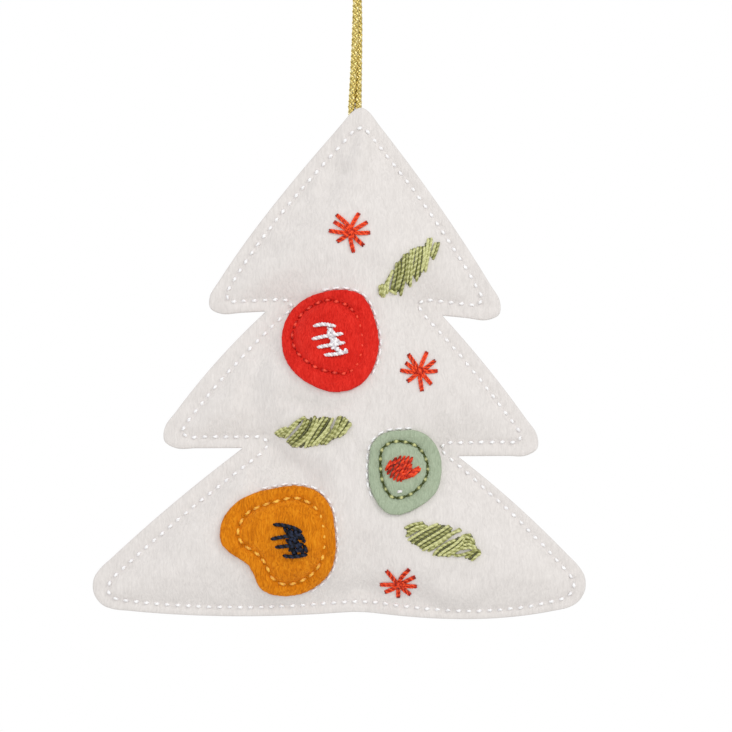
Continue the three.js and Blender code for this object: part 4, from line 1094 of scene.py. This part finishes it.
def makeFlower(name, values):
    node, seed = f"{name}_patch", values["seed"]
    edge = smoothLine(cutEdge(node), flower["netStep"], closed=True)
    edge += outwards(edge) * np.random.default_rng(seed).normal(0, flower["edgeRough"], len(edge))[:, None]
    crests = onFace(values["crestPixels"], lambda p: patchBed(p) + flower["thickness"])
    crestLine = throughPoints(crests, closed=True)[:-1]
    count, fineCount = len(crests), len(crestLine)
    nearRing = NearLine(crestLine, np.linspace(0, count, fineCount, endpoint=False) + 0.5)

    def tightness(crest):  # of the ring, 1 where it is tightest
        tightest, reach, share = values["tight"]
        away = (crest - tightest + count / 2) % count - count / 2
        return share * np.clip(1 - (away / reach) ** 2, 0, 1)

    def underside(points):
        return patchBed(points) + flower["bed"]

    def face(points):
        distance, stitches = nearRing(points)
        inside = isInside(crestLine, points)
        swell, flare = (height * (1 - bell(distance, fade)) for height, fade in flower["swells"])
        (deep, wide), (hole, holeWidth) = flower["groove"], flower["hole"]
        groove = (deep + flower["pulledIn"] * tightness(stitches - 0.5)) * bell(distance, wide)
        dips = hole * needleHoles(stitches) ** 2 * bell(distance, holeWidth)
        pressed = np.minimum(groove + dips, flower["thickness"] - flower["leastLeft"])
        (gather, shareOutside), (off, halfWidth) = flower["gathers"], flower["gathersLie"]
        creases = unevenness(np.stack([stitches * 0.9, distance / (6 * mm)], axis=1), 1.0, seed + 0.7)
        creases *= np.where(inside, gather, shareOutside * gather) * bell(distance - off, halfWidth)
        lumps = lumpsAt(points, flower["lumps"], seed, 0.5)
        plain = underside(points) + flower["thickness"]
        return plain + np.where(inside, swell, flare) - pressed + lumps + creases

    rings = [edge - outwards(edge) * inset * mm for inset in flower["ringInsets"]]
    rings += [crestLine - outwards(crestLine) * offset * mm for offset in flower["crestOffsets"]]
    rings = [ring[isInside(edge, ring)] for ring in rings]
    innermost = edge - outwards(edge) * flower["ringInsets"][0] * mm
    points = gathered(rings + [gridInside(innermost, flower["netStep"], seed)], flower["leastGap"])
    feltSheet(f"{node}_felt", edge, points, face, underside, flower["edgeRound"], -1,
              f"{values['feltColour']}_felt", node)

    skein = Skein(seed + 10)  # the ring of stitches
    perCrest = fineCount // count
    holes = [perCrest * i + perCrest // 2 for i in range(count)]
    for i, (start, end) in enumerate(zip(holes, holes[1:] + [holes[0] + fineCount])):
        tight = tightness(i + 1)
        sunk = int(flower["nap"] * tight * perCrest)
        span = crestLine[[k % fineCount for k in (start + sunk, (start + end) // 2, end - sunk)]]
        stitch(skein, span, face, values["ring"], -flower["pulledIn"] * tight)
    skein.piece(f"{node}_stitches", f"{values['ringColour']}_thread", f"{node}_stitch")

    skein = Skein(seed + 20)  # the scribble
    for pixels in values["strokePixels"]:
        lift = skein.random.uniform(0, flower["strokeLift"])
        stitch(skein, onFace(pixels, face), face, values["strokes"], lift)
    scribble = f"{values['scribbleColour']}_scribble"
    skein.piece(f"{scribble}_thread", f"{values['scribbleColour']}_thread", scribble)

    skein = Skein(seed + 30)  # the stitches beside the patch
    beside = f"{name}_placement_stitch"
    holes = smoothLine(threadRoute(beside, 0.5 * mm), 2.5 * mm)
    holes += unit(edge.mean(axis=0) - holes) * flower["shift"]
    for start, end in zip(holes[:-1], holes[1:]):
        stitch(skein, np.array([start, end]), frontFace, placementThread)
    if "tackPixels" in values:
        stitch(skein, onFace(values["tackPixels"], face), face, tackThread)
    skein.piece(f"{name}_placement_stitches", "white_thread", beside)


for flowerName, flowerValues in flowers.items():
    makeFlower(flowerName, flowerValues)
    print(f"the {flowerName} flower is done")


# The embroidered leaves: long stitches of glossy thread side by side, each from one edge to the other, over
# lower threads that fill the gaps. The lower threads are toned near the thread's darkest colour, as painted
# shade between the strokes.

leafThread = dict(sewing, width=0.84 * mm, end=0.5, rise=0.24 * mm, bow=0.15 * mm, dive=0.6 * mm,
                  lead=0.8 * mm, shadow=0.35 * mm, paintedHighlight=1.0 * mm, besidePaintedHighlight=1.0, lay=1.3 * mm, relief=0.24,
                  paintedPlyContrast=0.15, tones=(0.5, 0.95))
# lower threads toned dark: painted shade in the gaps between strokes
paintedShadeUnderThread = dict(leafThread, width=1.05 * mm, rise=-0.1 * mm, bow=0.0, paintedPlyContrast=0.12, tones=(-0.1, 0.15))
widestGap = 2.6 * mm  # between two strokes that the lower threads fill
leafLift = 0.25 * mm  # the most that one stroke lies over another
leaves = {
    "leaf_top": [
        [(439.2, 241.8), (436.4, 251), (432.6, 260.2)], [(436, 242), (433.6, 250), (430.8, 257)],
        [(431.6, 237.4), (430, 248), (427, 262), (425.2, 272.6)],
        [(428.6, 237.8), (426.6, 252), (422.6, 270)], [(424.4, 246), (423.6, 260), (421.2, 273)],
        [(421, 246), (419.4, 261), (416.4, 281.8)], [(418, 246.4), (415.8, 262), (412.8, 276)],
        [(414.6, 247.4), (412, 262), (410.2, 287.6)], [(411.4, 249), (409, 266), (406.8, 284)],
        [(407.4, 252.6), (406, 272.8), (400.4, 296.4)], [(404.4, 253.6), (402.6, 272), (397.6, 290)],
        [(399.8, 260.4), (399, 273.6), (394.8, 295)], [(396.8, 262), (395.4, 274), (391.4, 290)],
        [(393.2, 269.4), (388.4, 282), (386.8, 294.4)], [(389.8, 276), (386.4, 284), (385.2, 292)],
        [(385.2, 283.4), (384, 297.8)], [(382.2, 283.6), (382, 297.8)], [(379.6, 284.6), (380.4, 296)],
        [(388.8, 289.8), (397, 294.4)]],
    "leaf_middle": [
        [(274.4, 433.9), (280.4, 430), (287.4, 427.4)], [(276.2, 435.6), (282, 431.6), (288.6, 429)],
        [(278.2, 437), (284, 433.6), (289, 431)], [(281.6, 437.4), (288.6, 430), (296.2, 421.8)],
        [(284.8, 438.4), (291, 430.6), (298.6, 422)], [(287, 430.4), (295.6, 422.6), (305.4, 416.6)],
        [(286.6, 442.4), (294.6, 435), (301.5, 427.6), (306.2, 417.8)],
        [(289.2, 444.6), (297.4, 437), (304.6, 428), (309, 419)],
        [(291.6, 447), (305.4, 436.7), (311.4, 428.5), (315, 415.4)],
        [(295, 447.2), (307, 438.6), (313.4, 430), (318, 418)],
        [(304.6, 448.4), (309.4, 437.9), (319.6, 422.6), (324.4, 416.4)],
        [(307.8, 447.4), (314, 438.8), (322, 425.6), (328.4, 417)],
        [(311.4, 446.6), (318.4, 439), (326.7, 430), (333.2, 417.6)],
        [(315.4, 446), (323, 437.4), (330.6, 428)],
        [(320.2, 444.8), (327.4, 437.8), (334.4, 428.6), (338.6, 416.6)],
        [(324.8, 445), (335.5, 430.8), (340.8, 415.6)], [(328, 441.6), (338.6, 429.4), (345.4, 416.8)],
        [(333.8, 438.6), (341.6, 428.6), (347.6, 418.8)], [(338.6, 437.8), (345.6, 429.4), (351.2, 422.4)],
        [(343.4, 434.6), (347.8, 427.6), (351.6, 424.4)]],
    "leaf_bottom": [
        [(404, 528.4), (412.8, 524.4), (423.6, 522.4)], [(406.6, 532.2), (417.4, 526.6), (426, 525.2)],
        [(405.4, 536.6), (416.4, 530), (428, 526)],
        [(407.4, 540.6), (419, 533.2), (428.1, 527.8), (438.6, 523.8)],
        [(411, 543.6), (422.4, 536), (434, 529.8), (441.6, 525)],
        [(416.6, 546), (428.1, 538.4), (438.9, 532.2), (449.6, 525.2)],
        [(419.4, 548.4), (430.8, 541.4), (441, 535.4), (452.6, 527.6)],
        [(422, 550.6), (433.5, 544.4), (443.4, 538.4), (450.4, 533)],
        [(427.4, 551.4), (438.6, 544.4), (448, 537), (460.2, 528.2)],
        [(432.6, 548.4), (443.4, 539.2), (449.6, 533.7), (462, 530)],
        [(432.8, 556), (438.9, 548.4), (447.3, 543), (456.6, 539.6)],
        [(437.4, 556.4), (446, 549.6), (455, 544.4), (464.6, 534.4)],
        [(442, 556), (451.1, 551.4), (461.8, 543.7), (465.2, 535.6)],
        [(446.8, 556.6), (456.4, 550.6), (464.8, 545.6)],
        [(452, 553.8), (458, 556), (465.6, 553.6), (477.2, 550.4)],
        [(458, 539.2), (465.6, 536.6), (471, 538.2), (474.8, 542.2)], [(463, 535.4), (471.4, 534.6)],
        [(460.6, 541.8), (467.4, 540.8), (475.4, 543.4)], [(461.4, 545), (469, 544), (476.6, 547.4)],
        [(460, 549), (468.4, 547.6), (477.4, 549)], [(467.8, 556), (477, 549.8), (481, 552.6)],
        [(471, 561), (476.4, 556), (481, 552.6)], [(464.6, 558), (472.6, 554)]],
}


def makeLeaf(name, seed):
    skein = Skein(seed)
    strokes = [onFace(pixels, frontFace) for pixels in leaves[name]]
    strokes = [between(np.linspace(0, len(s) - 1, 5), np.arange(len(s)), s) for s in strokes]
    for stroke, after in zip(strokes, strokes[1:]):
        if np.linalg.norm(stroke - after, axis=1).max() < widestGap:
            stitch(skein, (stroke + after) / 2, frontFace, paintedShadeUnderThread)
    for stroke in strokes:
        stitch(skein, stroke, frontFace, leafThread, skein.random.uniform(0, leafLift))
    skein.piece(f"{name}_stitches", "leaf_thread", name)


for leafSeed, leafName in enumerate(leaves):
    makeLeaf(leafName, 51 + leafSeed)
print("the leaves are done")


# The embroidered stars: eight or nine rays, each of two threads side by side, and a knot in the middle.
# Each ray runs from its inner pixel to its tip.

# Each ray's ends are darkened in tone over the long shadow length, as painted shade at its blunt tips
starThread = dict(sewing, width=0.64 * mm, end=0.7, rise=0.16 * mm, bow=0.1 * mm, dive=0.5 * mm,
                  lead=0.5 * mm, shadow=0.9 * mm, paintedHighlight=1.0 * mm, besidePaintedHighlight=1.0, lay=1.3 * mm, relief=0.36,
                  paintedPlyContrast=0.3, tones=(0.55, 1.0))
star = {
    "spread": 0.26 * mm,  # from a ray's middle line to each of its threads
    "spreadShares": (0.4, 1, 0.9),  # of that at the hidden start, at the inner pixel and at the tip
    "innerShare": 0.85,  # how far a ray's hidden start lies inside its inner pixel, towards the middle
    "lift": 0.1 * mm,  # the most that one thread lies over another
    "knotReach": 4.6 * shot["pixelSize"],  # half the length of the knot's threads
    "knotTurns": (20, 65, 110, 155),  # their directions in degrees
    "knotLift": 0.35 * mm,
}
stars = {
    "star_top": [
        [(351.9, 225.8), (359.2, 212.6)], [(357, 228.2), (367.8, 221.8)], [(358.6, 233), (370.6, 232.7)],
        [(355.4, 238), (364.1, 246)], [(350.4, 238.4), (353.7, 253)], [(346, 236), (336.6, 241.9)],
        [(343, 232.6), (328.4, 230.6)], [(345.6, 228.6), (333.5, 221.4)], [(348.4, 225.8), (336, 214.3)]],
    "star_middle": [
        [(421.4, 365), (427.2, 351.4)], [(425, 368.6), (435.6, 360.1)], [(427, 371.6), (438, 370.9)],
        [(424.4, 376.2), (431.7, 384.8)], [(420, 378), (422.1, 391.8)], [(415.4, 375.4), (406.8, 381.8)],
        [(411.4, 372), (399.8, 370)], [(413.6, 368.4), (405.2, 362.4)], [(416.4, 366), (408, 353.6)]],
    "star_bottom": [
        [(394.6, 580.6), (386, 570.2)], [(400.6, 578.8), (409.6, 568.8)], [(404, 582.4), (415.7, 576.5)],
        [(405, 586), (417.3, 586.4)], [(402.4, 588.4), (410.8, 595.1)], [(398.2, 590), (398.2, 598.2)],
        [(393.6, 588.6), (384.3, 592.4)], [(392, 584.8), (379.6, 584.6)]],
}


def makeStar(name, seed):
    skein = Skein(seed)
    rays = [onFace(ray, frontFace) for ray in stars[name]]
    middle = np.mean([start for start, end in rays], axis=0)
    for start, end in rays:
        along = (end - start) / np.linalg.norm(end - start)
        inner = start + (middle - start) * star["innerShare"]
        for way in (-1, 1):
            aside = np.array([-along[1], along[0]]) * star["spread"] * way
            ray = np.array([inner, start, end]) + np.outer(star["spreadShares"], aside)
            stitch(skein, ray, frontFace, starThread, skein.random.uniform(0, star["lift"]))
    for turn in np.radians(star["knotTurns"]):
        reach = np.array([math.cos(turn), math.sin(turn)]) * star["knotReach"]
        stitch(skein, np.array([middle - reach, middle + reach]), frontFace, starThread, star["knotLift"])
    skein.piece(f"{name}_stitches", "coral_thread", name)


for starSeed, starName in enumerate(stars):
    makeStar(starName, 61 + starSeed)
print("the stars are done")


# Floor, world and lights

def makeStage():
    bpy.ops.mesh.primitive_circle_add(vertices=96, radius=2.0, fill_type="NGON", location=(0, 0, -0.62))
    floor = bpy.context.object
    floor.name = "studio_floor"
    bpy.ops.object.transform_apply(location=True)
    paint = {"Base Color": linear("#ecebe9"), "Roughness": 0.7, "IOR": 1.45}
    floor.data.materials.append(newMaterial("pale_studio_floor", paint)[0])


def makeWorld():
    world = bpy.data.worlds.new("white_studio")
    bpy.context.scene.world = world
    world.use_nodes = True
    tree = world.node_tree
    tree.nodes.clear()
    ray = addNode(tree, "ShaderNodeLightPath")
    ambient = addNode(tree, "ShaderNodeBackground", {}, {"Color": linear("#f6f7fa"), "Strength": 0.82})
    backdrop = addNode(tree, "ShaderNodeBackground", {}, {"Color": (1, 1, 1, 1), "Strength": 1.0})
    seen = addNode(tree, "ShaderNodeMixShader", {}, {
        0: ray.outputs["Is Camera Ray"], 1: ambient.outputs[0], 2: backdrop.outputs[0]})
    addNode(tree, "ShaderNodeOutputWorld", {}, {"Surface": seen.outputs[0]})


softboxes = {  # place, size, power and colour
    "key_softbox": ((0.75, -0.75, 0.45), 0.36, 2.9, "#fffdf8"),
    "front_softbox": ((0.1, -1.15, 0.3), 0.22, 1.7, "#fffdfa"),
    "left_softbox": ((-0.85, -0.75, 0.1), 0.4, 1.2, "#fffefc"),
    "back_softbox": ((-0.6, 0.9, 0.4), 0.5, 2.6, "#fffefc"),
}


def addSoftbox(name, place, size, power, colour):  # a square light that faces the tree's middle
    turn = (Vector((0, 0, -0.145)) - Vector(place)).to_track_quat("-Z", "Y").to_euler()
    bpy.ops.object.light_add(type="AREA", location=place, rotation=turn)
    light = bpy.context.object
    light.name = name
    light.data.shape = "SQUARE"
    light.data.size = size
    light.data.energy = power
    light.data.color = linear(colour)[:3]


makeStage()
makeWorld()
for softboxName, softboxValues in softboxes.items():
    addSoftbox(softboxName, *softboxValues)
bpy.context.scene.view_settings.view_transform = "Standard"

print("the scene is complete")
